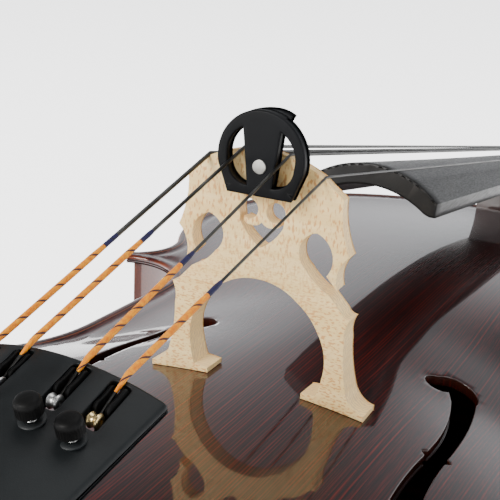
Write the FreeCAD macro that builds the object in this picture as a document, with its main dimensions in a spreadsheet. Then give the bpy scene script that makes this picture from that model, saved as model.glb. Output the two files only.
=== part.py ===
"""Full-size cello with a bridge mute, lying on its back: bridge up (+Z), scroll at +Y, A string on +X."""
import FreeCAD, Part
import math
import os

V = FreeCAD.Vector
doc = FreeCAD.newDocument("cello")

# ---------------------------------------------------------------- driving dimensions (mm, degrees)
SIZES = {
    "body_length": 755, "rib_height": 118, "arch_rise": 23.5, "edge_thickness": 4.5,
    "overhang": 3.0, "rib_thickness": 1.6, "lining_depth": 2.2, "lining_height": 14,
    "body_end": -589, "bridge_line": -234, "neck_joint": 166, "nut_line": 446,
    "bridge_foot_depth": 11.5, "bridge_top_depth": 3.2, "bridge_height": 91.6,
    "seat_outer": 23.2, "seat_inner": 9.1, "tail_outer": 21.2, "tail_inner": 9.3,
    "nut_outer": 11.3, "nut_inner": 3.8, "nut_depth": 6,
    "board_near_width": 66, "board_nut_width": 32, "board_side": 7.2, "board_round": 50,
    "post_dia": 11, "post_side": 30, "post_back": 14, "bar_width": 11, "bar_side": 33,
    "mute_radius": 17.2, "mute_inner": 13.2, "mute_depth": 4.6, "mute_side": 1.9, "mute_up": 90,
    "mute_front": -8, "magnet_dia": 5, "mute_lip": 10.5,
    "tail_length": 216, "tail_width": 67, "tail_end_width": 27, "tail_shell": 4.0,
    "tail_front": -118, "tail_up": 57.8, "tail_slope": 16.6,
    "lever_width": 5.0, "lever_slot": 2.6, "pin_dia": 1.6, "screw_dia": 3.0, "knob_dia": 7.4,
    "knob_height": 5.0, "ball_dia": 4.4, "ball_width": 3.4, "screw_set": 24,
    "peg_dia": 13, "peg_end_dia": 10.5, "peg_reach": 47, "peg_collar": 21,
    "rod_dia": 10, "rod_length": 470, "tip_dia": 16, "tip_length": 30, "socket_dia": 32,
    "socket_nose": 22, "run_clearance": 0.05, "rest_flat": 0.35,
}
sheet = doc.addObject("Spreadsheet::Sheet", "sizes")
for row, (alias, value) in enumerate(SIZES.items(), start=1):
    sheet.set("A%d" % row, alias)
    sheet.set("B%d" % row, str(value))
    sheet.setAlias("B%d" % row, alias)
doc.recompute()


def size(alias):
    return float(getattr(sheet, alias))


BACK_SEAT = size("arch_rise") + size("edge_thickness") - size("rest_flat")
TOP_SEAT = BACK_SEAT + size("rib_height")
TOP_EDGE = TOP_SEAT + size("edge_thickness")
CROWN = TOP_EDGE + size("arch_rise")
BOTTOM = size("body_end")
BRIDGE = size("bridge_line")
JOINT = size("neck_joint")
SIDES = (("bass", -1), ("treble", 1))
STRINGS = (
    ("c", -size("seat_outer"), -size("tail_outer"), -size("nut_outer"), 86.6, 0.95),
    ("g", -size("seat_inner"), -size("tail_inner"), -size("nut_inner"), 91.1, 0.75),
    ("d", size("seat_inner"), size("tail_inner"), size("nut_inner"), 91.0, 0.60),
    ("a", size("seat_outer"), size("tail_outer"), size("nut_outer"), 86.2, 0.50),
)
WRAP = 1.0


# ---------------------------------------------------------------- small helpers
def add(kind, label, **bound):
    """A document object whose properties follow expressions of the sheet."""
    item = doc.addObject(kind, label)
    item.Label = label
    for name, rule in bound.items():
        item.setExpression(name, rule)
    return item


def feature(label, shape):
    """A computed solid."""
    item = doc.addObject("Part::Feature", label)
    item.Label = label
    item.Shape = shape
    return item


def place(item, spot, axis=V(0, 0, 1), angle=0.0):
    item.Placement = FreeCAD.Placement(V(*spot), FreeCAD.Rotation(axis, angle))
    return item


def aim(item, spot, direction):
    """Places an object with its own +Z along the given direction."""
    item.Placement = FreeCAD.Placement(V(*spot), FreeCAD.Rotation(V(0, 0, 1), V(*direction)))
    return item


def cut(label, base, tool):
    item = add("Part::Cut", label)
    item.Base, item.Tool = base, tool
    return item


def fuse(label, parts):
    item = add("Part::MultiFuse", label)
    item.Shapes = parts
    return item


def curves(start, steps, lift=lambda x, y: V(x, y, 0)):
    """Line and three-point-arc geometry; a step is a point, or a pair (middle, end) for an arc."""
    found, here = [], start
    for step in steps:
        if isinstance(step[0], tuple):
            middle, end = step
            found.append(Part.Arc(lift(*here), lift(*middle), lift(*end)))
        else:
            end = step
            found.append(Part.LineSegment(lift(*here), lift(*end)))
        here = end
    return found


def mirrored(start, steps):
    """The steps of a half outline, walked back on the other side of the axis."""
    points = [start] + [step[1] if isinstance(step[0], tuple) else step for step in steps]
    back = []
    for index in range(len(steps) - 1, -1, -1):
        end = (-points[index][0], points[index][1])
        if isinstance(steps[index][0], tuple):
            middle = (-steps[index][0][0], steps[index][0][1])
            back.append((middle, end))
        else:
            back.append(end)
    return back


def whole(start, half):
    """A closed outline from the half that begins and ends on the axis."""
    return list(half) + mirrored(start, half)


def wire(geometry):
    return Part.Wire([item.toShape() for item in geometry])


def prism(geometry, run):
    return Part.Face(wire(geometry)).extrude(run)


def body(label):
    item = doc.addObject("PartDesign::Body", label)
    item.Label = label
    return item


def sketch(owner, name, role, geometry):
    """A sketch on one of the body's own origin planes."""
    plane = [item for item in owner.Origin.OriginFeatures if item.Role == role][0]
    item = owner.newObject("Sketcher::SketchObject", name)
    item.AttachmentSupport = [(plane, "")]
    item.MapMode = "FlatFace"
    for curve in geometry:
        item.addGeometry(curve, False)
    return item


def pad(owner, name, profile, length, midplane=False, back=False):
    item = owner.newObject("PartDesign::Pad", name)
    item.Profile = profile
    item.setExpression("Length", length)
    item.Midplane = midplane
    item.Reversed = back
    doc.recompute()
    return item


def pocket(owner, name, profile, back=False, midplane=True):
    """A cut right through; the volume has to drop."""
    before = owner.Shape.Volume
    item = owner.newObject("PartDesign::Pocket", name)
    item.Profile = profile
    item.Type = 1
    item.Midplane = midplane
    item.Reversed = back
    doc.recompute()
    if not owner.Shape.Volume < before - 0.01:
        raise RuntimeError(name + " cuts nothing")
    return item


# ---------------------------------------------------------------- body outline: tangent arcs
def chain(start, heading, bends):
    """Tangent arcs (centre, radius, first angle, sweep); a positive sweep bends to the left."""
    x, y = start
    arcs = []
    for radius, sweep in bends:
        side = 90 if sweep > 0 else -90
        normal = math.radians(heading + side)
        centre = (x + radius * math.cos(normal), y + radius * math.sin(normal))
        first = heading - side
        last = math.radians(first + sweep)
        x = centre[0] + radius * math.cos(last)
        y = centre[1] + radius * math.sin(last)
        heading += sweep
        arcs.append((centre, radius, first, sweep))
    return arcs


def shifted(arcs, inset):
    """The same arcs moved to their left by the inset; a negative inset moves them right."""
    return [(c, r - inset if sweep > 0 else r + inset, first, sweep) for c, r, first, sweep in arcs]


def trimmed(arcs, start_cut, end_cut):
    """Shortens the first and last arc by a length."""
    out = list(arcs)
    for index, length, at_start in ((0, start_cut, True), (-1, end_cut, False)):
        centre, radius, first, sweep = out[index]
        turn = math.copysign(math.degrees(length / radius), sweep)
        if at_start:
            first += turn
        out[index] = (centre, radius, first, sweep - turn)
    return out


def on_arc(arc, share):
    centre, radius, first, sweep = arc
    angle = math.radians(first + sweep * share)
    return (centre[0] + radius * math.cos(angle), centre[1] + radius * math.sin(angle))


def steps_of(arcs):
    return [(on_arc(arc, 0.5), on_arc(arc, 1.0)) for arc in arcs]


LENGTH = size("body_length")
LOWER = chain((0, 0), 0, [(302, 30), (138, 60), (215, 30), (50, -80)])
WAIST = chain((202.5, 342.3), 185, [(75, -93), (3000, -1.28), (30, -115.9)])
UPPER_DOWN = chain((0, LENGTH), 0, [(211, -30), (129, -60), (130, -28), (28, 85)])
# walked upwards, so that the inside of the body is on the left all the way round
UPPER = [(c, r, first + sweep, -sweep) for c, r, first, sweep in reversed(UPPER_DOWN)]


def half_outline(inset, corner_cut):
    """Right half of the body outline, moved inwards, closed at the corners by short edges."""
    lower = trimmed(shifted(LOWER, inset), 0, corner_cut)
    waist = trimmed(shifted(WAIST, inset), corner_cut, corner_cut)
    upper = trimmed(shifted(UPPER, inset), corner_cut, 0)
    start = on_arc(lower[0], 0)
    steps = steps_of(lower) + [on_arc(waist[0], 0)] + steps_of(waist)
    steps += [on_arc(upper[0], 0)] + steps_of(upper)
    return start, steps


def outline_prism(inset, corner_cut, low, high):
    """The closed outline of the whole body between two heights."""
    start, half = half_outline(inset, corner_cut)
    steps = list(half) + mirrored(start, half)
    return prism(curves(start, steps, lambda x, y: V(x, y + BOTTOM, low)), V(0, 0, high - low))


# ---------------------------------------------------------------- arching
def arch_width(v):
    """Half width of the arched field: two bouts and a waist, blended."""
    low = 1 - ((v - 165) / (153 if v < 165 else 262)) ** 2
    high = 1 - ((v - 612) / (133 if v > 612 else 170)) ** 2
    bouts = (212 * math.sqrt(max(low, 0)), 162 * math.sqrt(max(high, 0)), 106)
    return sum(width ** 6 for width in bouts) ** (1 / 6)


def arch(x, v):
    """Height of the arch above the flat edge, from 0 to arch_rise."""
    along = min(abs(2 * (v - 12) / (LENGTH - 24) - 1), 1)
    across = min(abs(x) / arch_width(v), 1)
    return size("arch_rise") * (1 - along ** 3) ** 1.5 * (1 - across ** 2) ** 1.6


def arch_face(level, sign):
    """One smooth surface over the whole body: level is the edge, sign is +1 for the top."""
    columns = [-232 + 464 * i / 36 for i in range(37)]
    rows = [-6 + (LENGTH + 36) * j / 50 for j in range(51)]
    grid = [[V(x, v + BOTTOM, level + sign * arch(x, v)) for v in rows] for x in columns]
    surface = Part.BSplineSurface()
    surface.interpolate(grid)
    return surface.toShape()


def half_space(side):
    return Part.makeBox(300, 1000, 400, V(0 if side > 0 else -300, BOTTOM - 60, -60))


thick = size("edge_thickness")
top_slab = arch_face(TOP_EDGE, 1).extrude(V(0, 0, -thick))
back_slab = arch_face(BACK_SEAT - thick, -1).extrude(V(0, 0, thick))
above_mid = arch_face(TOP_SEAT, 1).extrude(V(0, 0, -size("rib_height") * 0.9))
below_mid = arch_face(BACK_SEAT, -1).extrude(V(0, 0, size("rib_height") * 0.9))

MORTISE_DEPTH, MORTISE_HALF, BUTTON_RADIUS = 8, 21.5, 15
mortise = Part.makeBox(2 * MORTISE_HALF, 60, CROWN, V(-MORTISE_HALF, JOINT - MORTISE_DEPTH, BACK_SEAT))
SADDLE_HALF, SADDLE_DEPTH, SADDLE_TOP = 19, 9, 7
saddle_bed = Part.makeBox(2 * SADDLE_HALF, SADDLE_DEPTH + 5, 30, V(-SADDLE_HALF, BOTTOM - 5, TOP_SEAT))


def f_hole(side):
    """Two eyes and a curved stem with notches, as a prism through the top."""
    upper_eye, upper_radius = (55.5, 61), 5.7
    lower_eye, lower_radius = (88.5, -60), 7.4
    start = (53.1, 66.2)
    steps = [
        ((63, 71.5), (72, 60)), ((75.8, 35), (77.4, 2)), (79.4, 0), (77.6, -2),
        ((78.8, -28), (82.5, -50.5)), (81.8, -56.9), lower_eye, (88, -67.3),
        ((78.2, -66.5), (71.8, -52)), ((69.8, -25), (70.2, -2)), (68.4, 0), (70.1, 2),
        ((68.8, 30), (64, 52)), (60.8, 58.8), upper_eye, start,
    ]

    def lift(x, y):
        return V(side * x, y + BRIDGE, TOP_SEAT - 10)

    through = V(0, 0, 60)
    stem = prism(curves(start, steps, lift), through)
    eyes = [Part.makeCylinder(radius, 60, lift(*centre))
            for centre, radius in ((upper_eye, upper_radius), (lower_eye, lower_radius))]
    return stem.fuse(eyes)


def make_plates():
    plan = outline_prism(0, 0, -20, CROWN + 20)
    button = Part.makeCylinder(BUTTON_RADIUS, CROWN + 40, V(0, JOINT + 4, -20))
    back_plan = plan.fuse(button)
    below_rest = Part.makeBox(600, 1200, 60, V(-300, -700, -60))
    for name, side in SIDES:
        half = half_space(side)
        top = top_slab.common(plan).common(half).cut(mortise).cut(saddle_bed).cut(f_hole(side))
        feature("top_plate_" + name, top)
        feature("back_plate_" + name, back_slab.common(back_plan).common(half).cut(below_rest))


def wall(arcs, outer, depth, corner_cut, side, low, high):
    """A thin upright wall that follows the arcs."""
    first_cut, last_cut = corner_cut
    outside = trimmed(shifted(arcs, outer), first_cut, last_cut)
    inside = trimmed(shifted(arcs, outer + depth), first_cut, last_cut)
    start = on_arc(outside[0], 0)
    back = [(on_arc(arc, 0.5), on_arc(arc, 0)) for arc in reversed(inside)]
    steps = steps_of(outside) + [on_arc(inside[-1], 1)] + back + [start]
    return prism(curves(start, steps, lambda x, y: V(side * x, y + BOTTOM, low)), V(0, 0, high - low))


BOUTS = (("lower", LOWER, (0, 4)), ("centre", WAIST, (5, 5)), ("upper", UPPER, (4, 0)))


def make_ribs():
    outer, depth = size("overhang"), size("rib_thickness")
    for name, side in SIDES:
        walls = {}
        for bout, arcs, corner in BOUTS:
            walls[bout] = wall(arcs, outer, depth, corner, side, BACK_SEAT, TOP_SEAT)
        walls["centre"] = walls["centre"].cut(walls["lower"]).cut(walls["upper"])
        walls["upper"] = walls["upper"].cut(mortise)
        walls["lower"] = walls["lower"].cut(socket_bore())
        for bout, shape in walls.items():
            feature("%s_rib_%s" % (bout, name), shape)


def socket_bore():
    """The tapered hole for the endpin socket, through rib and block."""
    middle = (BACK_SEAT + TOP_SEAT) / 2
    return Part.makeCone(12.5, 11.5, 60, V(0, BOTTOM - 5, middle), V(0, 1, 0))


def make_inner_parts():
    """Blocks, linings, bass bar and sound post."""
    inset = size("overhang") + size("rib_thickness")
    cavity = outline_prism(inset, 9, BACK_SEAT, TOP_SEAT)
    top_blank = Part.makeBox(110, 34, CROWN, V(-55, JOINT - 34, 0))
    bottom_blank = Part.makeBox(90, 38, CROWN, V(-45, BOTTOM, 0))
    feature("top_block", cavity.common(top_blank).cut(mortise))
    feature("bottom_block", cavity.common(bottom_blank).cut(socket_bore()))
    corners, tools = [], [top_blank, bottom_blank]
    for name, side in SIDES:
        for spot, reach in (((163, 511), (40, 48)), ((202, 337), (48, 50))):
            blank = Part.makeBox(reach[0], reach[1], CROWN)
            blank.translate(V(-reach[0] if side > 0 else 0, -reach[1] / 2, 0))
            blank.translate(V(side * spot[0], spot[1] + BOTTOM, 0))
            corners.append(cavity.common(blank))
            tools.append(blank)
    feature("corner_blocks", Part.makeCompound(corners))
    depth, height = size("lining_depth"), size("lining_height")
    for label, low in (("top_linings", TOP_SEAT - height), ("back_linings", BACK_SEAT)):
        strips = []
        for name, side in SIDES:
            for bout, arcs, corner in BOUTS:
                strip = wall(arcs, inset, depth, (corner[0] + 4, corner[1] + 4), side, low, low + height)
                for tool in tools:
                    strip = strip.cut(tool)
                strips += strip.Solids
        feature(label, Part.makeCompound(strips))
    bar_side, bar_width = size("bar_side"), size("bar_width")
    profile = [((BRIDGE + 40, CROWN - 32), (JOINT - 70, TOP_SEAT - 3)), (JOINT - 70, CROWN),
               (BOTTOM + 70, CROWN), (BOTTOM + 70, TOP_SEAT - 3)]
    blank = prism(curves((BOTTOM + 70, TOP_SEAT - 3), profile, lambda y, z: V(-bar_side, y, z)),
                  V(-bar_width, 0, 0))
    feature("bass_bar", blank.common(above_mid))
    foot = V(size("post_side"), BRIDGE - size("post_back"), 0)
    post = Part.makeCylinder(size("post_dia") / 2, CROWN, foot)
    feature("sound_post", post.common(above_mid.fuse(below_mid)).removeSplitter())


# ---------------------------------------------------------------- neck, fingerboard, nut, saddle
BOARD_START = BRIDGE + 107
BOARD_UP = CROWN + 46
BOARD_SPAN, BOARD_FALL = size("nut_line") - BOARD_START, 86.6
NECK_SLOPE = math.degrees(math.atan2(-BOARD_FALL, BOARD_SPAN))
BOARD_RUN = math.hypot(BOARD_SPAN, BOARD_FALL)


def in_neck_frame(shape):
    """From a frame with +Y along the neck and Z=0 on the glue line, origin at the board's near end."""
    slope = FreeCAD.Rotation(V(1, 0, 0), NECK_SLOPE)
    shape.Placement = FreeCAD.Placement(V(0, BOARD_START, BOARD_UP), slope)
    return shape


def board_section(half, y, inset=0.0):
    """Flat underside, upright sides and a round top."""
    side, radius = size("board_side") - inset, size("board_round") - inset
    half -= inset
    rise = radius - math.sqrt(radius ** 2 - half ** 2)
    steps = [(half, 0), (half, side), ((0, side + rise), (-half, side)), (-half, 0)]
    return wire(curves((-half, 0), steps, lambda x, z: V(x, y, z - inset)))


def make_fingerboard():
    near, far = size("board_near_width") / 2, size("board_nut_width") / 2
    board = Part.makeLoft([board_section(near, 0), board_section(far, BOARD_RUN)], True)
    hollow_run = 270
    share = hollow_run / BOARD_RUN
    scoop_near = arched_section(near - 3.5, -2, 11.5)
    scoop_far = arched_section((near * (1 - share) + far * share) - 5, hollow_run, 1.0)
    hollow = Part.makeLoft([scoop_near, scoop_far], True)
    feature("fingerboard", in_neck_frame(board.cut(hollow)))


def arched_section(half, y, rise):
    steps = [(half, -1), ((0, rise), (-half, -1))]
    return wire(curves((-half, -1), steps, lambda x, z: V(x, y, z)))


def make_nut():
    half, depth = size("board_nut_width") / 2, size("nut_depth")
    steps = [(half, 0), (half, 6.6), ((0, 11.4), (-half, 6.6)), (-half, 0)]
    blank = prism(curves((-half, 0), steps, lambda x, z: V(x, BOARD_RUN, z)), V(0, depth, 0))
    feature("nut", in_neck_frame(blank))


def make_saddle():
    blank = add("Part::Box", "saddle_blank")
    blank.Length, blank.Width = 2 * SADDLE_HALF, SADDLE_DEPTH
    blank.Height = thick + SADDLE_TOP
    place(blank, (-SADDLE_HALF, BOTTOM, TOP_SEAT))
    doc.recompute()
    rounded = add("Part::Fillet", "saddle")
    rounded.Base = blank
    upper = [index + 1 for index, edge in enumerate(blank.Shape.Edges)
             if edge.BoundBox.ZMin > TOP_SEAT + 1 and edge.BoundBox.XLength > 1]
    rounded.Edges = [(index, 3.5, 3.5) for index in upper]


PEGBOX_START, PEGBOX_RUN = size("nut_depth"), 150
PEG_STATIONS = (("c", 30, -1), ("a", 58, 1), ("g", 90, -1), ("d", 122, 1))
HEAD_TILT = -8.0
PEG_DEPTH = -15.0
SCROLL_TURNS = ((36, 15), (29.5, 19), (23.5, 23), (18, 26), (13, 29), (8.5, 31.5))


def head_place(spot):
    """A point given in the head frame: origin on the glue line at the nut, +Y along the pegbox."""
    turn = FreeCAD.Rotation(V(1, 0, 0), NECK_SLOPE + HEAD_TILT)
    base = in_neck_frame(Part.Vertex(0, BOARD_RUN, 0)).Point
    return FreeCAD.Placement(base, turn).multVec(V(*spot))


def in_head_frame(shape):
    base = in_neck_frame(Part.Vertex(0, BOARD_RUN, 0)).Point
    shape.Placement = FreeCAD.Placement(base, FreeCAD.Rotation(V(1, 0, 0), NECK_SLOPE + HEAD_TILT))
    return shape


def neck_section(half, depth, y):
    steps = [((half * 0.78, -depth * 0.62), (0, -depth)), ((-half * 0.78, -depth * 0.62), (-half, 0)),
             (half, 0)]
    return wire(curves((half, 0), steps, lambda x, z: V(x, y, z)))


def make_scroll():
    """Half discs that step inwards and outwards, one for each half turn of the volute."""
    y, z = PEGBOX_START + PEGBOX_RUN + 29.3, -30.0
    parts, upward = [], 1
    for radius, half_width in SCROLL_TURNS:
        disc = Part.makeCylinder(radius, 2 * half_width, V(-half_width, y, z), V(1, 0, 0))
        low = z if upward > 0 else z - radius - 1
        keep = Part.makeBox(100, 2 * radius + 2, radius + 1, V(-50, y - radius - 1, low))
        parts.append(disc.common(keep))
        parts.append(Part.makeCylinder(radius * 0.93, 2 * half_width, V(-half_width, y, z), V(1, 0, 0)))
        y += upward * 1.2
        upward = -upward
    return parts


def make_neck():
    """Shaft, heel, pegbox and scroll are one piece of maple."""
    near_y = JOINT - MORTISE_DEPTH - BOARD_START
    near_y = near_y / math.cos(math.radians(NECK_SLOPE))
    shaft = Part.makeLoft([neck_section(21.0, 22, near_y + 6), neck_section(18.5, 20, near_y + 130),
                           neck_section(16.0, 18.5, BOARD_RUN + 2)], True)
    shaft = in_neck_frame(shaft)
    joint_up = BOARD_UP - BOARD_FALL * (JOINT - BOARD_START) / BOARD_SPAN
    top_corner = (JOINT - MORTISE_DEPTH, joint_up + 0.6)
    side = [(JOINT + 46, joint_up - 7.6), ((JOINT + 18, joint_up - 40), (JOINT + 12, BACK_SEAT + 20)),
            (JOINT + 14, BACK_SEAT), (JOINT - MORTISE_DEPTH, BACK_SEAT), top_corner]
    block = prism(curves(top_corner, side, lambda y, z: V(-30, y, z)), V(60, 0, 0))
    front = [(21.4, CROWN + 6), (21.4, TOP_EDGE), (14.5, BACK_SEAT)]
    start = (0, CROWN + 6)
    taper = prism(curves(start, whole(start, front + [(0, BACK_SEAT)]), lambda x, z: V(x, JOINT - 30, z)),
                  V(0, 120, 0))
    heel = block.common(taper)
    outer = [(18.5, 0), (21, 12), (17.5, 110), (15, PEGBOX_RUN + 20)]
    border = whole((0, 0), outer + [(0, PEGBOX_RUN + 20)])
    plan = prism(curves((0, 0), border, lambda x, y: V(x, y, -45)), V(0, 0, 60))
    profile = [(6.3, 0.6), (12, 6), (PEGBOX_RUN, 2), (PEGBOX_RUN + 22, 2), (PEGBOX_RUN + 22, -38),
               (PEGBOX_RUN - 20, -29), (14, -31), ((2, -27), (-4, -16)), (0, 0)]
    pegbox = prism(curves((0, 0), profile, lambda y, z: V(-30, y, z)), V(60, 0, 0)).common(plan)
    inner = [(11.5, 12), (8.0, PEGBOX_RUN)]
    inner_plan = curves((0, 12), whole((0, 12), inner + [(0, PEGBOX_RUN)]), lambda x, y: V(x, y, -24))
    pegbox = pegbox.cut(prism(inner_plan, V(0, 0, 60)))
    for name, station, side in PEG_STATIONS:
        pegbox = pegbox.cut(peg_cone(station, side, size("run_clearance")))
    head = in_head_frame(pegbox.fuse(make_scroll()))
    feature("neck", shaft.fuse([heel, head]).removeSplitter())


# ---------------------------------------------------------------- pegs
def peg_cone(station, side, extra):
    """The tapered shank across the pegbox, in the head frame."""
    reach, length = 30, 56
    first, last = size("peg_dia") / 2 + extra, size("peg_end_dia") / 2 + extra
    start = V(side * reach, PEGBOX_START + station, PEG_DEPTH)
    return Part.makeCone(first, last, length, start, V(-side, 0, 0))


def make_pegs():
    for name, station, side in PEG_STATIONS:
        spot = head_place((side * 30, PEGBOX_START + station, PEG_DEPTH))
        inward = (-side, 0, 0)
        shank = add("Part::Cone", "peg_shank_" + name, Radius1="sizes.peg_dia / 2",
                    Radius2="sizes.peg_end_dia / 2")
        shank.Height = 56
        aim(shank, spot, inward)
        collar = add("Part::Cylinder", "peg_collar_" + name, Radius="sizes.peg_collar / 2")
        collar.Height = 6
        aim(collar, spot + V(side * 6, 0, 0), inward)
        stalk = add("Part::Cone", "peg_stalk_" + name, Radius2="sizes.peg_collar / 2 - 3")
        stalk.Radius1, stalk.Height = 5, 12
        aim(stalk, spot + V(side * 17, 0, 0), inward)
        thumb = add("Part::Ellipsoid", "peg_thumb_" + name, Radius3="sizes.peg_reach / 2.6")
        thumb.Radius1, thumb.Radius2 = 15, 4.5
        sideways = FreeCAD.Rotation(V(0, 0, 1), V(1, 0, 0))
        turn = FreeCAD.Rotation(V(1, 0, 0), NECK_SLOPE + HEAD_TILT).multiply(sideways)
        thumb.Placement = FreeCAD.Placement(spot + V(side * 31, 0, 0), turn)
        fuse("peg_" + name, [shank, collar, stalk, thumb])
        make_coil(name, station, side)


COIL_WIDTH = 8.0


def make_coil(name, station, side):
    """The turns of string on the shank, clear of the box walls."""
    radius = {item[0]: item[5] for item in STRINGS}[name]
    coil_x = -side * 2.0
    spot = head_place((coil_x - COIL_WIDTH / 2, PEGBOX_START + station, PEG_DEPTH))
    outer = Part.makeCylinder(size("peg_dia") / 2 + 2 * radius, COIL_WIDTH, spot, V(1, 0, 0))
    shank = peg_cone(station, side, 0)
    feature("string_coil_" + name, outer.cut(in_head_frame(shank)))


# ---------------------------------------------------------------- bridge
def make_bridge():
    """Cut from a flat board: upright on the tailpiece side, tapered on the fingerboard side."""
    height = size("bridge_height")
    crown_end = (size("seat_outer"), 85.9)
    half = [
        ((12, 90.1), crown_end), (31.2, 78.4), ((31.8, 67.5), (34.8, 58.3)), ((31.3, 52.6), (31.2, 46.0)),
        (27.2, 50.4), ((28.6, 57.0), (22.0, 64.6)), ((15.7, 58.2), (18.6, 50.4)),
        ((22.6, 46.0), (28.6, 42.4)),
        ((31.6, 39.8), (35.8, 35.6)), ((36.2, 24.0), (38.2, 9.0)), ((40.4, 3.0), (45.4, -1.2)),
        (45.4, -3.25), ((32.7, -1.65), (20.0, -0.55)), (20.0, 1.6), ((25.2, 3.7), (27.8, 9.5)),
        ((27.6, 21.0), (24.6, 27.6)), ((21.0, 32.7), (16.2, 36.8)), ((8.5, 41.2), (0, 42.6)),
    ]
    start = (0, height)
    owner = body("bridge")
    outline = sketch(owner, "bridge_outline", "XZ_Plane", curves(start, whole(start, half)))
    pad(owner, "bridge_board", outline, "sizes.bridge_foot_depth", back=True)
    heart = [
        ((5.2, 59.0), (8.7, 64.0)), (9.3, 69.0), ((5.5, 72.8), (1.7, 69.0)), ((2.7, 66.4), (5.2, 65.2)),
        (7.4, 65.9), ((6.6, 63.6), (4.2, 63.0)), ((1.8, 63.2), (0, 64.6)),
    ]
    opening = sketch(owner, "bridge_heart", "XZ_Plane", curves((0, 55), whole((0, 55), heart)))
    pocket(owner, "bridge_heart_cut", opening)
    deep, thin = size("bridge_foot_depth"), size("bridge_top_depth")
    wedge = curves((deep, 4), [(deep + 9, 4), (deep + 9, height + 3), (thin, height + 3), (deep, 4)])
    taper = sketch(owner, "bridge_taper", "YZ_Plane", wedge)
    pocket(owner, "bridge_taper_cut", taper)
    place(owner, (0, BRIDGE, CROWN))


# ---------------------------------------------------------------- mute
def make_mute():
    """A flat-bottomed ring with a middle bar, a lip over the bridge and a small magnet."""
    outer, inner = size("mute_radius"), size("mute_inner")
    flat = -13.7
    edge = math.sqrt(outer ** 2 - flat ** 2)
    owner = body("mute")
    rim = curves((-edge, flat), [((0, outer), (edge, flat)), (-edge, flat)])
    pad(owner, "mute_disc", sketch(owner, "mute_rim", "XZ_Plane", rim), "sizes.mute_depth", back=True)
    low, high = -9.2, 9.6
    for side in (-1, 1):
        bar_low, bar_high = side * 5.1, side * 7.1
        end_low = side * math.sqrt(inner ** 2 - low ** 2)
        end_high = side * math.sqrt(inner ** 2 - high ** 2)
        window = curves((bar_low, low), [(end_low, low), ((side * inner, 0), (end_high, high)),
                                         (bar_high, high), (bar_low, low)])
        drawn = sketch(owner, "mute_window%d" % (side + 2), "XZ_Plane", window)
        pocket(owner, "mute_window_cut%d" % (side + 2), drawn)
    first, last = math.radians(60), math.radians(121)
    middle = (first + last) / 2

    def polar(radius, angle):
        return (radius * math.cos(angle), radius * math.sin(angle))

    lip_inner = outer - 3.0
    hood = curves(polar(outer, first), [
        (polar(outer + 0.6, middle), polar(outer, last)), polar(lip_inner, last),
        (polar(lip_inner, middle), polar(lip_inner, first)), polar(outer, first)])
    pad(owner, "mute_hood", sketch(owner, "mute_lip", "XZ_Plane", hood), "sizes.mute_lip", back=True)
    spot = (size("mute_side"), BRIDGE + size("mute_front"), CROWN + size("mute_up"))
    place(owner, spot)
    seat = Part.makeCylinder(size("magnet_dia") / 2, 2.2, V(0, -0.1, -2.8), V(0, 1, 0))
    seat.translate(V(*spot))
    owner.Label = "mute_blank"
    feature("mute", owner.Shape.cut(seat))
    disc = add("Part::Cylinder", "mute_magnet", Radius="sizes.magnet_dia / 2 - 0.05")
    disc.Height = 2.0
    aim(disc, V(*spot) + V(0, 0, -2.8), (0, 1, 0))


# ---------------------------------------------------------------- tailpiece and fine tuners
TAIL_ROUND = 80.0


def in_tail_frame(shape):
    """From a frame with its origin at the middle of the front edge, +Y towards the bridge, Z up."""
    spot = V(0, BRIDGE + size("tail_front"), CROWN + size("tail_up"))
    turn = FreeCAD.Rotation(V(1, 0, 0), size("tail_slope"))
    shape.Placement = FreeCAD.Placement(spot, turn).multiply(shape.Placement)
    return shape


def tail_drop(x):
    """How far the round top lies below its middle line."""
    return TAIL_ROUND - math.sqrt(TAIL_ROUND ** 2 - x ** 2)


def tail_section(half, y, shell):
    """An arched sheet with short upright sides, hollow underneath."""
    drop = tail_drop(half)
    steps = [((0, 0), (half, -drop)), (half, -drop - shell), (half - 2.5, -drop - shell),
             ((0, -shell), (-half + 2.5, -drop - shell)), (-half, -drop - shell), (-half, -drop)]
    return wire(curves((-half, -drop), steps, lambda x, z: V(x, y, z)))


WINDOW = (-19.0, -1.9)
PIVOT = (-6.0, -8.0)


def make_tailpiece():
    wide, narrow, length = size("tail_width") / 2, size("tail_end_width") / 2, size("tail_length")
    shell = size("tail_shell")
    shape = Part.makeLoft([tail_section(wide, 0, shell), tail_section(narrow, -length, shell + 3)], True)
    lever, slack, cheek = size("lever_width"), 0.4, 1.3
    bores = []
    for name, seat_x, tail_x, nut_x, up, radius in STRINGS:
        drop = tail_drop(tail_x)
        inside = lever / 2 + slack
        corner = V(tail_x - inside - cheek, PIVOT[0] - 4.2, -drop - 10.4)
        cheeks = Part.makeBox(2 * (inside + cheek), 8.4, 8.0, corner)
        boss = Part.makeCylinder(3.2, 3.4, V(tail_x, -size("screw_set"), -drop - 5.6))
        shape = shape.fuse([cheeks, boss])
        corner = V(tail_x - inside, WINDOW[0], -drop - 16)
        window = Part.makeBox(2 * inside, WINDOW[1] - WINDOW[0], 24, corner)
        bores.append(window)
        hole = size("screw_dia") / 2 + size("run_clearance")
        bores.append(Part.makeCylinder(hole, 20, V(tail_x, -size("screw_set"), -drop - 10)))
        pivot = V(tail_x - 4.5, PIVOT[0], PIVOT[1] - drop)
        bores.append(Part.makeCylinder(size("pin_dia") / 2, 9, pivot, V(1, 0, 0)))
    gut_holes = [Part.makeCylinder(1.7, 40, V(x, -length - 5, -drop_end()), V(0, 1, 0)) for x in (-6, 6)]
    feature("tailpiece", in_tail_frame(shape.cut(bores).cut(gut_holes).removeSplitter()))


def drop_end():
    """Depth of the tailgut holes below the crown line at the narrow end."""
    return 4.6


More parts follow.
